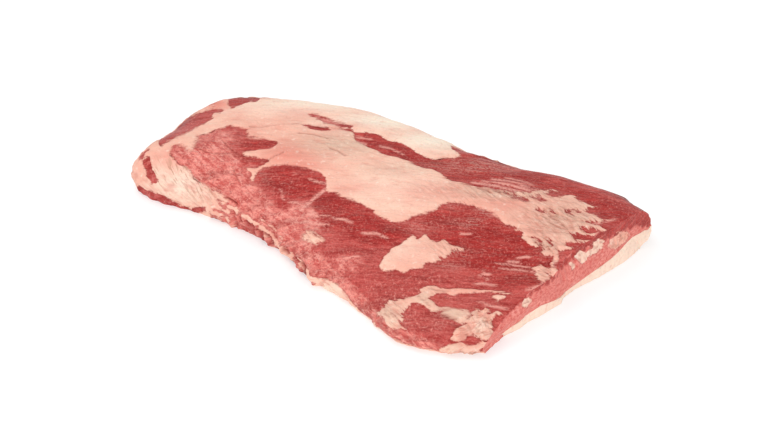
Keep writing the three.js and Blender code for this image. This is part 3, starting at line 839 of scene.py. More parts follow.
def distance_to(at, start, end):
    edge = end - start
    share = np.clip((at - start) @ edge / (edge @ edge), 0, 1)
    return np.linalg.norm(at - start - share[:, None] * edge, axis=1)


REACH = 12.0  # distances are measured this far from an outline or a line


def close_to(spots, points):
    """Which spots may be within reach of the points."""
    return np.flatnonzero(((spots > points.min(0) - REACH) & (spots < points.max(0) + REACH)).all(axis=1))


def depth_inside(spots, points):
    """Distance to a closed outline, above 0 inside it."""
    outline = smooth_outline(points)
    near = close_to(spots, outline)
    found = np.full(len(spots), -REACH)
    at = spots[near]
    best = np.full(len(at), REACH)
    inside = np.zeros(len(at), bool)
    for start, end in zip(outline, np.roll(outline, -1, axis=0)):
        best = np.minimum(best, distance_to(at, start, end))
        crosses = (start[1] > at[:, 1]) != (end[1] > at[:, 1])
        height = end[1] - start[1] or 1.0
        inside ^= crosses & (at[:, 0] < start[0] + (at[:, 1] - start[1]) / height * (end[0] - start[0]))
    found[near] = np.where(inside, best, -best)
    return found


def depth_in_any(spots, outlines):
    return np.max([depth_inside(spots, outline) for outline in outlines], axis=0)


def depth_in_lines(spots, lines):
    """The same for open lines with a half width."""
    found = np.full(len(spots), -REACH)
    for half_width, *points in lines:
        points = np.array(points, float)
        near = close_to(spots, points)
        walked = [distance_to(spots[near], start, end) for start, end in zip(points, points[1:])]
        found[near] = np.maximum(found[near], half_width - np.min(walked, axis=0))
    return found


def in_spots(spots, table):
    """The strongest of the table's soft spots at each place."""
    found = np.zeros(len(spots))
    for x, y, wide, high, amount in table:
        out = ((spots[:, 0] - x) / wide) ** 2 + ((spots[:, 1] - y) / high) ** 2
        found = np.maximum(found, amount * np.exp(-out))
    return found


# ------------------------------------------------------------------ the normals

CROWDED = 3  # the rows of the lean crowd together at the crest, for this many steps
SMALLEST = 1e-4  # the smallest patch that has a direction of its own
TINY = 1e-9  # divided by instead of nothing


def joined(data, corners):
    """The places that points share: which one each has, its first point, and the whole faces."""
    _, first, place = np.unique(np.round(data["points"], 4), axis=0, return_index=True, return_inverse=True)
    place = place.reshape(-1)
    faces = place[corners]
    whole = (faces[:, 0] != faces[:, 1]) & (faces[:, 1] != faces[:, 2]) & (faces[:, 2] != faces[:, 0])
    return place, first, corners[whole]


def normals_of(points, faces):
    a, b, c = (points[faces[:, k]] for k in range(3))
    flat = np.cross(b - a, c - a)
    total = np.zeros_like(points)
    for k in range(3):
        np.add.at(total, faces[:, k], flat)
    return total / np.maximum(np.linalg.norm(total, axis=1, keepdims=True), TINY)


def skin_normals(points, rows, normals):
    """Normals along the rows, which agree where the skins of the two pieces meet."""
    table = points[rows]
    flat = np.cross(np.gradient(table, axis=1), np.gradient(table, axis=0))
    size = np.linalg.norm(flat, axis=2, keepdims=True)
    facing = np.sign((flat * normals[rows]).sum(axis=2, keepdims=True))
    usual = (size > SMALLEST) & (np.arange(rows.shape[1])[None, :, None] > CROWDED)
    normals = normals.copy()
    normals[rows] = np.where(usual, facing * flat / np.maximum(size, TINY), normals[rows])
    return normals


# ------------------------------------------------------------ masks of the skin

# Directions on the unrolled skin, in degrees: of the fibres, of the strands of
# torn fat, and of the wrinkles at the thick end.
FLOWS = {"flow": 22, "tear_flow": -18, "steep_flow": -38}

FRAY = (1.2, 4.5)  # how far the fibres pull the outlines of the fat, in pixels, left and right
UNEVEN = (0.06, 0.2)  # how far noise moves the border of what the camera sees
# How far the strands pull the outlines across and down, where fat is torn and
# along the near edge.
PULL_TORN, PULL_BAND = np.array([3.825, 2.25]), np.array([1.1, 1.87])
RAG_END = (0.8, 2.6)  # and how ragged the fat's rim is, on the sides and at the thick end
BAND_LEAN, BAND_BROKEN = 1.8, 2.0  # how much less fat the near edge has, and how its streaks break up
# Fat on the sides that the camera doesn't see: its depth at the rim, how fast it
# grows below it, its depth in the middle, and how deep the slits go there.
HIDDEN_FAT = {"rim": -1.0, "slope": 0.5, "most": 8, "slit": 13}
# Tones there: the usual amount, how much more in clouds, and the most.
GUESSED = {"grey": (0.2, -0.8, 0.5), "pink": (0.35, 0.9, 1), "bright": (0.6, -1.1, 1)}
GUESSED_VEINS, GUESSED_TORN, GUESSED_WRINKLE, GUESSED_SPECK = 0.5, 0.3, 0.5, 0.4


def flow_of(laid, name):
    """Distances along and across a direction, such as the fibres'."""
    turn = math.radians(FLOWS[name])
    ahead = np.array([math.cos(turn), math.sin(turn)])
    aside = np.array([-math.sin(turn), math.cos(turn)])
    return laid @ ahead, laid @ aside


def pulled(spots, across, down):
    return spots + np.stack([across, down], axis=1)


class SkinView:
    """Where each point of the skin lies, and where and how squarely the camera sees it."""

    def __init__(self, data, normals):
        self.points, self.x = data["points"], data["points"][:, 0]
        self.above, self.foot, self.turn = data["above"], data["foot"], data["turn"]
        self.flow, self.edge = flow_of(data["laid"], "flow"), (data["around"], data["foot"])
        squarely = facing_camera(self.points, normals)
        uneven = pattern("uneven", *self.flow)
        self.facing = squarely + mix(*UNEVEN, fade("uneven", uneven)) * uneven
        self.in_sight = fade("seen", squarely)
        self.seen, self.known = fade("seen", self.facing), fade("known", self.facing)

        self.plain = in_picture(data["shown"])
        self.strands = pattern("strands", *flow_of(data["laid"], "tear_flow"))
        torn = in_spots(self.plain, SPOTS["torn"]) * self.strands
        along_fibres = mix(*FRAY, fade("fray", self.plain[:, 0])) * pattern("fray_across", *self.flow)
        self.frayed = pulled(self.plain, along_fibres, pattern("fray_down", *self.flow))
        self.frayed += torn[:, None] * PULL_TORN
        self.stranded = self.plain + self.strands[:, None] * PULL_BAND
        across, down = (pattern(name, *self.flow) for name in ("rough_across", "rough_down"))
        self.rough = pulled(self.plain, across, down)


def fat_depth(view):
    """How deep each point is in fat, below 0 in lean."""
    fat = mix(*RAG_END, fade("rag_end", view.x)) * pattern("rag_end", *view.edge) - view.above
    fat = np.maximum(fat, depth_in_any(view.frayed, FAT_OUTLINES.values()))
    fat = np.minimum(fat, -depth_in_any(view.rough, RED_OUTLINES))
    fat = np.minimum(fat, -depth_in_any(view.frayed, HOLES))
    band = depth_inside(view.stranded, NEAR_BAND)
    fat = np.where(band > 0, mix(fat, pattern("bands", *view.edge) - BAND_LEAN, fade("band", band)), fat)
    broken = BAND_BROKEN * fade("broken", pattern("broken", *view.flow))
    fat = np.maximum(fat, depth_in_lines(view.stranded, LINES["band_fat"]) - broken)

    hidden = pattern("hidden", *view.edge) - HIDDEN_FAT["slope"] * view.above + HIDDEN_FAT["rim"]
    slits = fade("slit_end", view.x) * fade("slit", pattern("slit", *view.edge))
    hidden = np.minimum(hidden, HIDDEN_FAT["most"] - HIDDEN_FAT["slit"] * slits)
    return mix(hidden, fat, view.seen)


def guessed_tones(view):
    """Tones of what the camera doesn't see, in clouds."""
    cloud = pattern("cloud", *view.edge)
    veins = GUESSED_VEINS * fade("veins", np.abs(pattern("veins", *view.edge)))
    tones = {
        name: np.clip(usual + in_clouds * cloud + veins * (name == "pink"), 0, most)
        for name, (usual, in_clouds, most) in GUESSED.items()
    }
    return tones | {"torn": GUESSED_TORN, "wrinkle": GUESSED_WRINKLE * fade("wrinkle", cloud)}


def skin_masks(view):
    """What shows on the skin of both pieces, as the materials read it."""
    plain, frayed, seen = view.plain, view.frayed, view.seen
    pale = np.maximum(fade("pale", depth_inside(frayed, TRIMMED_NEAR)), in_spots(plain, SPOTS["pale"]))
    masks = {
        "fat": fat_depth(view),
        "soft": in_spots(plain, SPOTS["soft"]) * seen,
        "veil": in_spots(frayed, SPOTS["veil"]) * seen,
        "crimson": fade("crimson", depth_in_any(frayed, DEEP_RED.values())) * seen,
        "pale": pale * seen,
    }
    for name, guess in guessed_tones(view).items():
        masks[name] = mix(guess, in_spots(plain, SPOTS[name]), view.known)
    for name, moved in (("streak", frayed), ("crease", frayed), ("gash", view.stranded)):
        masks[name] = fade(name, depth_in_lines((plain + moved) / 2, LINES[name])) * seen
    # Painted shade where the camera sees the skin edge-on, within the spots.
    edge_on = fade("grazing", view.facing) * fade("in_front", view.facing)
    is_far = view.turn == 1
    return masks | {
        "edge_shade": in_spots(plain, SPOTS["edge_shade"]) * edge_on,
        "speck": np.maximum(in_spots(plain, SPOTS["speck"]) * seen, GUESSED_SPECK * (1 - seen)),
        "cut": np.zeros(len(plain)),
        "rim": fade("dark_rim", view.foot) * fade("rim_begins", view.x) * is_far,
    }


# ----------------------------------------------------------- relief of the skin

# Heights in millimetres: the lean beside fat, fat on the lean and its middle,
# the round lobes of lean, the lump by the slice, strands, creases and clefts.
# Folds and bumps rise between their creases, which are this low.
HEIGHTS = {
    "beside_fat": -1.2, "fat": 2.0, "fat_middle": 0.5, "lobe": 1.0, "lump": 1.6, "torn": 1.3, "roll": 3.0,
    "crease": -1.4, "gash": -3.0, "near_folds": -1.8, "bumps": -1.5,
}
FAT_FOLDS_SHARE = 0.6  # how much of the near side's folds shows on its fat
FOOT_SHARE = 0.8  # how much of the fine relief is left at the foot


def swelling(points):
    u = 2 * math.pi * (points[:, 0] + SWELL["slant"] * points[:, 1]) / SWELL["long"]
    v = 2 * math.pi * (points[:, 1] - SWELL["slant"] * points[:, 0]) / SWELL["wide"]
    return SWELL["height"] * np.sin(u) * np.cos(v)


def broad_relief(view, masks):
    """Swells, the patches and the roll of fat, lobes of lean, creases and clefts."""
    is_fat, on_lean = fade("fat", masks["fat"]), fade("on_lean", view.above)
    lobes = [DEEP_RED[name] for name in ("lobe_behind", "lobe_small", "lobe_front")]
    is_roll = (view.turn == 1) * fade("roll_begins", view.x)
    parts = {
        "beside_fat": (1 - is_fat) * (1 - on_lean),
        "fat": is_fat * on_lean,
        "fat_middle": fade("fat_thick", masks["fat"]),
        "lobe": fade("lobe", depth_in_any(view.plain, lobes)) * view.in_sight,
        "lump": in_lump(view),
        "roll": is_roll * fade("roll", -view.above) * fade("roll_rim", -view.above),
        "crease": masks["crease"],
        "gash": masks["gash"],
    }
    return swelling(view.points) + sum(HEIGHTS[name] * share for name, share in parts.items())


def in_lump(view):
    lumps = [FAT_OUTLINES[name] for name in ("lump", "lump_foot")]
    return fade("lump", depth_in_any(view.plain, lumps)) * view.in_sight


def fine_relief(view, masks):
    """Fibres, strands of torn fat, small folds and bumps."""
    is_fat = fade("fat", masks["fat"])
    is_near = view.turn == 0
    folds_at = is_near * fade("near_folds", view.foot) * fade("folds_end", view.x)
    fat_folds = pattern("fat_folds", *view.flow) + HEIGHTS["torn"] * masks["torn"] * view.strands
    bumps = np.abs(pattern("bumps", *view.flow)) + HEIGHTS["bumps"]
    near_folds = np.abs(pattern("near_folds", *view.edge)) + HEIGHTS["near_folds"]
    far_folds = pattern("far_folds", *view.edge) * fade("far_folds", view.foot)
    fine = mix(pattern("fibres", *view.flow), fat_folds, is_fat) + in_lump(view) * bumps
    fine += folds_at * mix(1, FAT_FOLDS_SHARE, is_fat) * near_folds + (1 - view.in_sight) * far_folds
    return fine + fade("rag_low", view.foot) * pattern("rag_low", *view.edge)


# -------------------------------------------------------------------- the slice

# How far the edges of the slice stand back, and the top one and the seam up, by Y.
TOP_BACK = through((
    (-120, 1), (-105, 4), (-80, 6), (-55, 5), (-25, 1.5), (-14, 3), (-6, 6), (10, 6), (30, 4.5), (50, 2.5),
    (80, 1), (100, 1.5), (118, 2), (143, 3),
))
TOP_UP = through((
    (-120, 0), (-105, 3), (-80, 4.5), (-55, 4), (-20, 2), (-8, 4), (10, 4.5), (30, 3), (50, 2), (80, 0.5),
    (100, 1.5), (118, 2.5), (128, 0.5), (140, -3),
))
FOOT_BACK = through((
    (-120, 1), (-95, 4.5), (-82, 5.5), (-68, 2.7), (-55, 3.2), (-41, 1), (-27, 0), (-10, 0), (-5, 2.5),
    (4, 3.5), (16, 3), (31, 0.8), (46, -1.4), (61, -2.3), (76, -3.2), (92, -2.5), (108, 0.5), (118, 3),
    (131, 4), (143, 4),
))
SEAM_UP = through((
    (-110, 0), (-75, 2.5), (-41, 6), (-15, 0), (16, 0), (46, 3), (76, 4.6), (92, 4.6), (110, 0), (143, 0),
))
CORNER_IN = 19  # how far the lean overhangs the fat at the far corner
CORNER_ROUND = 12  # and how far its top is rounded off there

CUT_WANDER = (1.2, 0.8)  # how much the outlines on the slice wander across and down
DARK_RIM = 0.9  # how much of the slice's own colour its dark rim takes
# Tones of the fat on the slice: how bright, how pink and how much less pink
# where it is bright, the painted shade in the hollows of its lumps, and how bright the layer beneath is.
CUT_BRIGHT, CUT_PINK, CUT_PINK_LOST, CUT_HOLLOW_SHADE, LAYER_BRIGHT = 0.4, 0.3, 0.6, 0.7, 0.6
CUT_HEIGHTS = {"lumps": 0.3, "fat": 0.6, "fat_lumps": 1.4}


def slice_edge(points):
    """The ragged, bevelled edges of the sliced end, as a shift of its points."""
    y, z = points[:, 1], points[:, 2]
    plane = SLICE_X - MIDDLE[0] + SLICE["skew"] * (y + MIDDLE[1]) - SLICE["lean"] * z
    inward = np.maximum(plane - points[:, 0], 0)
    high, bevel = fade("slice_top", z), fade("bevel", inward)
    ragged = 1 + pattern("edge_rag", y, z)
    chips = pattern("edge_chips", y, z)
    at_seam = fade("seam_above", z) * fade("seam_below", z) * fade("seam_in", inward)
    shift = np.zeros_like(points)
    shift[:, 0] = -(TOP_BACK(y) * ragged + chips) * high * bevel
    shift[:, 0] -= (FOOT_BACK(y) + chips) * fade("slice_low", z) * fade("foot_back", inward)
    shift[:, 1] = -CORNER_IN * fade("corner_in", y) * fade("corner_low", z) * fade("seam_in", inward)
    shift[:, 1] -= CORNER_ROUND * fade("corner_round", y) * fade("corner_high", z) * bevel
    shift[:, 2] = TOP_UP(y) * ragged * high * fade("top_in", inward) + SEAM_UP(y) * at_seam
    return shift


def cut_lumps(points):
    return pattern("cut_lumps", points[:, 1], points[:, 2])


def cut_masks(data, is_lean):
    """The sliced faces: plain fat, or lean with fat along its seam. The other masks are 0 there."""
    y, z = data["points"][:, 1:].T
    spots = in_picture(data["shown"]) + pattern("cut_wander", y, z)[:, None] * CUT_WANDER
    if not is_lean:
        edge = np.clip(-depth_inside(spots, CUT_WITHOUT_FAT), -REACH, REACH)
        return {"cut": 1, "fat": edge, "bright": LAYER_BRIGHT}
    fat = depth_in_any(spots, CUT_FAT)
    rim = DARK_RIM * fade("cut_rim", depth_in_lines(spots, LINES["cut_rim"]) + pattern("cut_strokes", y, z))
    bright = CUT_BRIGHT * fade("cut_bright", spots[:, 0])
    lumps = cut_lumps(data["points"])
    return {
        "cut": 1 - rim, "crimson": rim, "fat": fat, "pink": CUT_PINK - CUT_PINK_LOST * bright,
        # The fat is painted brighter on top of its lumps, as highlight, and painted shade fills the hollows
        # between them.
        "bright": bright * (1 + lumps), "crease": CUT_HOLLOW_SHADE * fade("hollow", -lumps) * fade("cut_fat", fat),
    }


def cut_relief(data, masks, is_lean):
    lumps = cut_lumps(data["points"])
    fat = CUT_HEIGHTS["fat"] + CUT_HEIGHTS["fat_lumps"] * lumps
    return CUT_HEIGHTS["lumps"] * lumps + fade("cut_fat", masks["fat"]) * fat * is_lean


# --------------------------------------------------------------------- the mesh

PATTERN_LOW, PATTERN_SIZE = np.array([-330.0, -560.0]), 760.0
MASK_REACH = 6.0  # the distance each way that the fat mask covers from 0 to 1
UNDER_MASKS = {"fat": REACH, "pink": 0.35, "bright": 0.3, "crease": 0, "gash": 0, "edge_shade": 0}
UNDER_HOLLOW = 0.35  # of the underside: the usual depth, and half of the most
AT_FOOT = 1e-6  # points this close to the foot lie on the floor
SHARP = 52  # degrees between faces that meet in an edge


def dressed(data, normals, is_lean):
    """The points with their relief, and the masks that the material reads."""
    on_skin, on_cut, below = (data["kind"] == kind for kind in (SKIN, CUT, UNDER))
    shift = slice_edge(data["points"])
    data["shown"] = data["points"] + shift
    view = SkinView(data, normals)
    masks = skin_masks(view)
    fine = fine_relief(view, masks)
    # Painted shade in the low places of the fine relief.
    masks["hollow_shade"] = fade("hollow_shade", -fine)
    skin = broad_relief(view, masks) * fade("foot", view.foot)
    skin += fine * mix(FOOT_SHARE, 1, fade("foot_fine", view.foot))

    on_slice = cut_masks(data, is_lean)
    masks = {name: np.where(on_cut, on_slice.get(name, 0.0), values) for name, values in masks.items()}
    hollows = np.clip(UNDER_HOLLOW + pattern("under", *data["points"][:, :2].T), 0, 2 * UNDER_HOLLOW)
    height = skin * on_skin + cut_relief(data, masks, is_lean) * on_cut - hollows * below
    for name, value in UNDER_MASKS.items():
        masks[name] = np.where(below, value, masks[name])
    masks["fat"] = np.clip(masks["fat"] / (2 * MASK_REACH) + 0.5, 0, 1)
    points = data["points"] + normals * height[:, None] + shift
    at_foot = on_skin & (data["foot"] < AT_FOOT)
    points[:, 2] = np.where(at_foot, 0, np.maximum(points[:, 2], 0))
    return points, masks


def keep_layers(mesh, data, masks, used):
    """Directions, masks and a flat layout of the mesh, for the corners of its faces."""
    on_skin = data["kind"] == SKIN
    edge_pair = [np.where(on_skin, data[key], data["laid"][:, k]) for k, key in enumerate(("around", "foot"))]
    pairs = {flow: flow_of(data["laid"], flow) for flow in FLOWS} | {"edge_flow": edge_pair}
    for layer, pair in pairs.items():
        values = np.stack([*pair, 0 * pair[0]], axis=1)[used].astype(np.float32)
        mesh.attributes.new(layer, "FLOAT_VECTOR", "CORNER").data.foreach_set("vector", values.ravel())
    for layer, values in masks.items():
        values = values[used].astype(np.float32)
        mesh.attributes.new(layer, "FLOAT", "CORNER").data.foreach_set("value", values)
    flat = ((data["laid"][used] - PATTERN_LOW) / PATTERN_SIZE).astype(np.float32)
    mesh.uv_layers.new(name="OFBake").uv.foreach_set("vector", flat.ravel())


def build_piece(name, surface, is_lean):
    """One closed mesh, shaped and with all that its material reads."""
    data = surface.arrays()
    place, first, corners = joined(data, np.concatenate(surface.faces))
    normals = normals_of(data["points"][first], place[corners])[place]
    normals = skin_normals(data["points"], surface.skin, normals)
    points, masks = dressed(data, normals, is_lean)
    mesh = bpy.data.meshes.new(name)
    mesh.from_pydata((points[first] / METRE).tolist(), [], place[corners].tolist())
    keep_layers(mesh, data, masks, corners.reshape(-1))
    mesh.shade_smooth()
    mesh.set_sharp_from_angle(angle=math.radians(SHARP))

    piece = bpy.data.objects.new(name, mesh)
    bpy.context.scene.collection.objects.link(piece)
    return piece


# -------------------------------------------------------------------- materials

# Patterns of the materials: the directions that they follow, the length and
# width of their marks, detail, roughness and distortion.
MARKS = {
    "fibre": ("flow", 19, 3.1, 5, 0.65, 0.3),
    "strands": ("flow", 9, 1.5, 4, 0.65, 0),
    "grain": ("flow", 2.3, 1.9, 4, 0.65, 0),
    "blotch": ("flow", 34, 20, 3, 0.5, 0),
    "mottle": ("flow", 10, 12, 5, 0.6, 0),
    "broad": ("flow", 64, 12, 3, 0.5, 0),
    "marbling": ("flow", 12, 9, 5, 0.55, 0),
    "dots": ("flow", 3.0, 4.4, 5, 0.6, 0),
    "lumps": ("flow", 6, 6, 5, 0.6, 0),
    "hairs": ("flow", 17, 2.1, 4, 0.65, 0),
    "tear": ("tear_flow", 13, 3.0, 5, 0.6, 0.4),
    "graze": ("tear_flow", 16, 4.0, 6, 0.7, 0.3),
    "steep": ("steep_flow", 15, 3.2, 4, 0.55, 0.3),
    "folds": ("edge_flow", 30, 7, 4, 0.5, 0.5),
    "cut_grain": ("edge_flow", 3.4, 2.6, 5, 0.7, 0),
    "cut_blotch": ("edge_flow", 30, 16, 3, 0.5, 0),
}

# Tones laid one over another: the colour, its strength, and where it shows, by
# masks and by patterns that fade in between two levels.
LEAN_TONES = (
    ("8E1F1D", 0.3, ("mottle", 0.45, 0.3)),
    ("84120F", 0.4, ("broad", 0.5, 0.36)),
    ("D25A52", 0.3, ("broad", 0.53, 0.66)),
    ("EE9A8E", 0.6, ("strands", 0.55, 0.7), ("blotch", 0.4, 0.62)),
    ("741311", 0.4, ("strands", 0.45, 0.32)),
    ("F6BAAC", 1.0, "marbling_lines", ("is_pale", 0, 1, 0.12, 0.5)),
    # Light dots where the lean is grainy: painted highlights of wet meat.
    ("F0A396", 0.75, ("dots", 0.54, 0.68), "speck"),
    ("74110F", 0.65, ("dots", 0.46, 0.32), "speck"),
    ("700F0E", 1.0, ("grain", 0.46, 0.32), ("is_pale", 0, 1, 0.5, 0.3)),
    # The light side of the fine grain: painted highlight.
    ("EA8C7F", 0.5, ("grain", 0.55, 0.68)),
    ("6E3834", 0.6, "rim"),
    # Painted shade in the hollows of the relief.
    ("A02A28", 0.5, "hollow_shade"),
)
FAT_TONES = (
    ("FFEEDA", 1.0, "bright"),
    ("E98F7F", 0.75, "uneven_pink"),
    ("DCBBA5", 0.8, "uneven_grey"),
    ("C98574", 0.2, ("fibre", 0.44, 0.28)),
    # Dark lines of fine folds where the fat is torn or grey: painted shade in the folds.
    ("BE7C6C", 0.4, "fold_lines", "torn_or_grey"),
    # Pale speckles by the lumps mark: painted highlights on the fat.
    ("FFE9D8", 0.5, ("lumps", 0.55, 0.72)),
    ("E3A38F", 0.4, ("lumps", 0.45, 0.3)),
    ("B97F70", 0.7, ("tear", 0.5, 0.36), "torn"),
    ("F9D3BF", 0.6, ("tear", 0.54, 0.66), "torn"),
    # Dark marks of steep fine wrinkles: painted shade in the wrinkles.
    ("BC8871", 0.8, ("steep", 0.49, 0.38), "wrinkle"),
    # Painted shade in the hollows of the relief.
    ("D98878", 0.5, "hollow_shade"),
    ("D08C7B", 0.35, ("grain", 0.44, 0.3)),
)
THIN_FAT_TONES = (
    ("C98F83", 0.75, "veil", ("hairs_and_grain", 0.4, 0.66)),
    ("EFAB9D", 0.8, "streak", ("fibre_and_grain", 0.3, 0.55)),
)
# Painted shade, laid over all the colours last.
LAST_TONES = (
    # Painted shade: a thin dark line along the edge of the fat, where it meets the lean.
    ("8A2723", 0.2, ("edge", 0.34, 0.46), ("edge", 0.52, 0.46)),
    # Painted shade along the creases.
    ("8F3F36", 0.5, "crease"),
    # Painted shade in the clefts.
    ("9C2422", 0.8, "gash"),
    # Painted shade along the edges that the camera sees edge-on.
    ("842A26", 0.6, "edge_shade"),
)
BUMP_DISTANCE = 0.7
# What stays the same all over the meat.
FLESH = {
    "Specular IOR Level": 0.18, "Subsurface Weight": 0.1, "Subsurface Scale": 2 / METRE,
    "Subsurface Radius": (1.0, 0.35, 0.25),
}


def linear(text):
    """A colour written as six hexadecimal digits, as linear light."""
    parts = [int(text[k:k + 2], 16) / 255 for k in (0, 2, 4)]
    return (*(part / 12.92 if part <= 0.04045 else ((part + 0.055) / 1.055) ** 2.4 for part in parts), 1.0)


class Shader:
    """A material's nodes, added and joined in one call each, and found again by name."""

    def __init__(self, name):
        self.material = bpy.data.materials.new(name)
        self.material.use_nodes = True
        self.tree = self.material.node_tree
        self.surface = self.tree.nodes["Principled BSDF"]
        self.named = {}

    def add(self, kind, inputs, **settings):
        node = self.tree.nodes.new(kind)
        for key, value in settings.items():
            setattr(node, key, value)
        for key, value in inputs.items():
            self.set(node.inputs[key], value)
        return node

    def set(self, socket, value):
        """Gives an input a value, another node's output, or what goes by a name."""
        if isinstance(value, str):
            value = self.get(value)
        if isinstance(value, bpy.types.NodeSocket):
            self.tree.links.new(value, socket)
        else:
            socket.default_value = value

    def set_surface(self, values):
        for key, value in values.items():
            self.set(self.surface.inputs[key], value)

    def get(self, name):
        """What was named before, or else one of the marks or a mask of the mesh."""
        if name not in self.named:
            self.named[name] = self.noise(*MARKS[name]) if name in MARKS else self.layer(name, "Fac")
        return self.named[name]

    def layer(self, name, output):
        return self.add("ShaderNodeAttribute", {}, attribute_name=name).outputs[output]

    def noise(self, flow, long, wide, detail, roughness, distortion):
        """Marks of a length and a width in millimetres, laid along a direction."""
        inputs = {0: self.layer(flow, "Vector"), 1: (1 / long, 1 / wide, 1)}
        place = self.add("ShaderNodeVectorMath", inputs, operation="MULTIPLY").outputs["Vector"]
        keys = ("Vector", "Scale", "Detail", "Roughness", "Distortion")
        inputs = dict(zip(keys, (place, 1, detail, roughness, distortion)))
        return self.add("ShaderNodeTexNoise", inputs).outputs["Fac"]

    def math(self, operation, a, b=0.0):
        return self.add("ShaderNodeMath", {0: a, 1: b}, operation=operation).outputs["Value"]

    def times(self, a, b):
        return self.math("MULTIPLY", a, b)

    def total(self, first, *others):
        for other in others:
            first = self.math("ADD", first, other)
        return first

    def plus(self, value, *pushes):
        """A value that marks push either way, each by its amount."""
        return self.total(value, *(self.about_half(name, amount) for name, amount in pushes))

    def about_half(self, value, amount):
        return self.times(self.math("SUBTRACT", value, 0.5), amount)

    def ramp(self, value, low, high, to_low=0.0, to_high=1.0):
        keys = ("Value", "From Min", "From Max", "To Min", "To Max")
        inputs = dict(zip(keys, (value, low, high, to_low, to_high)))
        return self.add("ShaderNodeMapRange", inputs, interpolation_type="SMOOTHSTEP").outputs["Result"]

    def lines(self, name, width):
        """Thin lines along the middle level of a mark."""
        return self.ramp(self.math("ABSOLUTE", self.math("SUBTRACT", name, 0.5)), width, 0.0)

    def blend(self, share, a, b, strength=1.0):
        if strength != 1.0:
            share = self.times(share, strength)
        node = self.add("ShaderNodeMix", {"Factor": share}, data_type="RGBA")
        for socket, colour in ((node.inputs[6], a), (node.inputs[7], b)):
            self.set(socket, linear(colour) if isinstance(colour, str) else colour)
        return node.outputs[2]

    def share(self, where):
        """A name stands for itself, or fades in between the levels that go with it."""
        return where if isinstance(where, str) else self.ramp(*where)

    def paint(self, colour, tones):
        """Tones over a colour, each where all its places overlap."""
        for tone, strength, *places in tones:
            share = self.share(places[0])
            for place in places[1:]:
                share = self.times(share, self.share(place))
            colour = self.blend(share, colour, tone, strength)
        return colour


def lean_colour(look):
    """Red muscle: fibres, a pale trimmed side, marbling, pits, and light specks painted as highlights of wet
    meat.
    """
    look.named["is_pale"] = look.ramp(look.plus("pale", ("mottle", 0.7)), 0.2, 0.85)
    look.named["marbling_lines"] = look.lines("marbling", 0.022)
    push = look.ramp("speck", 0, 1, 1.0, 0.4)
    fibrous = look.ramp(look.about_half("fibre", push), -0.17, 0.17)
    usual, deep = look.blend(fibrous, "A8332E", "CC5C56"), look.blend(fibrous, "8C100F", "BA2F2A")
    grazed = look.plus("graze", ("mottle", 0.5), ("grain", 0.3))
    salmon = look.blend(look.ramp(grazed, 0.34, 0.66), "C6544D", "F0988B")
    colour = look.blend("crimson", usual, deep, 0.9)
    colour = look.paint(look.blend("is_pale", colour, salmon), LEAN_TONES)

    cut_face = look.blend(look.share(("cut_grain", 0.35, 0.65)), "D45E54", "F29E92")
    cut_face = look.blend(look.share(("cut_blotch", 0.35, 0.6)), cut_face, "D4685F", 0.35)
    return look.blend("cut", colour, cut_face)


def fat_colour(look):
    """Fat from bright cream to pink and greyish, with fine wrinkles drawn in painted shade and painted
    highlight speckles.
    """
    look.named["uneven_pink"] = look.plus("pink", ("lumps", 0.5))
    look.named["uneven_grey"] = look.plus("grey", ("fibre", 0.5))
    look.named["fold_lines"] = look.lines("folds", 0.02)
    look.named["torn_or_grey"] = look.math("MAXIMUM", "torn", "grey")
    return look.paint(look.blend(look.share(("blotch", 0.3, 0.7)), "F9C9B3", "F1B4A0"), FAT_TONES)


def name_fat_edge(look):
    """Where fat begins on the lean: sharp or soft, frayed along the fibres, and torn."""
    torn_tear = look.times(look.about_half("tear", 1.6), "torn")
    hairy = look.about_half("strands", look.times("soft", 0.8))
    fray = look.total(look.about_half("fibre", 0.3), look.about_half("grain", 0.2), hairy)
    edge = look.total("fat", fray, torn_tear)
    half_width = look.ramp("soft", 0, 1, 0.07, 0.24)
    is_fat = look.ramp(edge, look.math("SUBTRACT", 0.5, half_width), look.math("ADD", 0.5, half_width))
    look.named |= {"edge": edge, "is_fat": is_fat, "torn_tear": torn_tear}
    look.named["hairs_and_grain"] = look.plus("hairs", ("grain", 1.0))
    look.named["fibre_and_grain"] = look.plus("fibre", ("grain", 0.8))


def fine_height(look):
    height = look.plus(look.about_half("strands", 0.6), ("grain", 1.1))
    height = look.plus(look.total(height, look.times("is_fat", 0.2)), ("fibre", 0.8))
    height = look.total(height, look.times("torn_tear", 0.8))
    torn_folds = look.times(look.lines("folds", 0.03), "torn")
    return look.math("SUBTRACT", height, look.times(torn_folds, 0.5))


def meat_material(name):
    look = Shader(name)
    name_fat_edge(look)
    lean = look.paint(lean_colour(look), THIN_FAT_TONES)
    colour = look.paint(look.blend("is_fat", lean, fat_colour(look)), LAST_TONES)
    bump = look.add("ShaderNodeBump", {"Height": fine_height(look), "Distance": BUMP_DISTANCE / METRE})
    matt = look.total("grain", look.times("is_fat", 0.4))
    roughness = look.ramp(matt, 0.3, 1.1, 0.36, 0.62)
    look.set_surface({"Base Color": colour, "Normal": bump.outputs["Normal"], "Roughness": roughness} | FLESH)
    return look.material


# -------------------------------------------------------------------- the scene

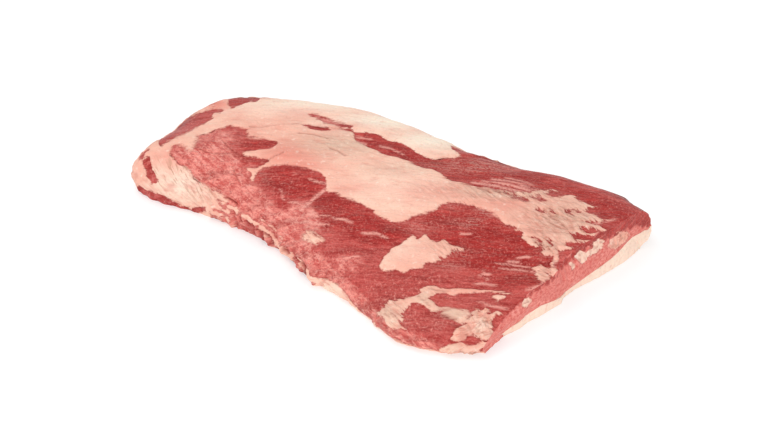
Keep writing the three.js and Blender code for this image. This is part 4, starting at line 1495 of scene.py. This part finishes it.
FLOOR_HALF = 6.0  # metres
FLOOR_LOOK = {
    "Base Color": (0.6, 0.6, 0.6, 1), "Roughness": 0.9, "Specular IOR Level": 0.1,
    "Emission Color": (1, 1, 1, 1), "Emission Strength": 0.45,
}
WORLD_STRENGTH = 0.75
# Soft lamps that look at the origin: place and size in metres, and watts.
LIGHTS = {"key": ((-0.9, -0.5, 2.2), 1.6, 18), "fill": ((1.2, -1.8, 0.9), 1.8, 17)}


def floor():
    corners = [(x * FLOOR_HALF, y * FLOOR_HALF, 0) for x, y in ((-1, -1), (1, -1), (1, 1), (-1, 1))]
    mesh = bpy.data.meshes.new("floor")
    mesh.from_pydata(corners, [], [(0, 1, 2, 3)])
    piece = bpy.data.objects.new("floor", mesh)
    bpy.context.scene.collection.objects.link(piece)
    look = Shader("floor_look")
    look.set_surface(FLOOR_LOOK)
    mesh.materials.append(look.material)


def studio():
    world = bpy.data.worlds.new("studio")
    world.use_nodes = True
    background = world.node_tree.nodes["Background"]
    background.inputs["Color"].default_value = (1, 1, 1, 1)
    background.inputs["Strength"].default_value = WORLD_STRENGTH
    bpy.context.scene.world = world
    bpy.context.scene.view_settings.view_transform = "Standard"
    for name, (place, size, watts) in LIGHTS.items():
        lamp = bpy.data.lights.new(name, "AREA")
        lamp.energy, lamp.size = watts, size
        holder = bpy.data.objects.new(name, lamp)
        holder.location = place
        holder.rotation_euler = (-Vector(place)).to_track_quat("-Z", "Y").to_euler()
        bpy.context.scene.collection.objects.link(holder)


def camera():
    lens = bpy.data.cameras.new("camera")
    lens.sensor_width = SENSOR
    lens.lens = SENSOR * CAMERA["focal"] / PICTURE[0]
    holder = bpy.data.objects.new("camera", lens)
    turned = Matrix(camera_axes()).transposed().to_4x4()
    holder.matrix_world = Matrix.Translation(camera_place() / METRE) @ turned
    bpy.context.scene.collection.objects.link(holder)
    bpy.context.scene.camera = holder


ribs = all_ribs()
for name, node, surface in (("lean_muscle", "lean", lean_surface), ("fat_layer", "fat_cap", fat_surface)):
    piece = build_piece(name, surface(ribs), node == "lean")
    piece.data.materials.append(meat_material(name + "_look"))
    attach(piece, "root")
    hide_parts(node)

floor()
studio()
camera()
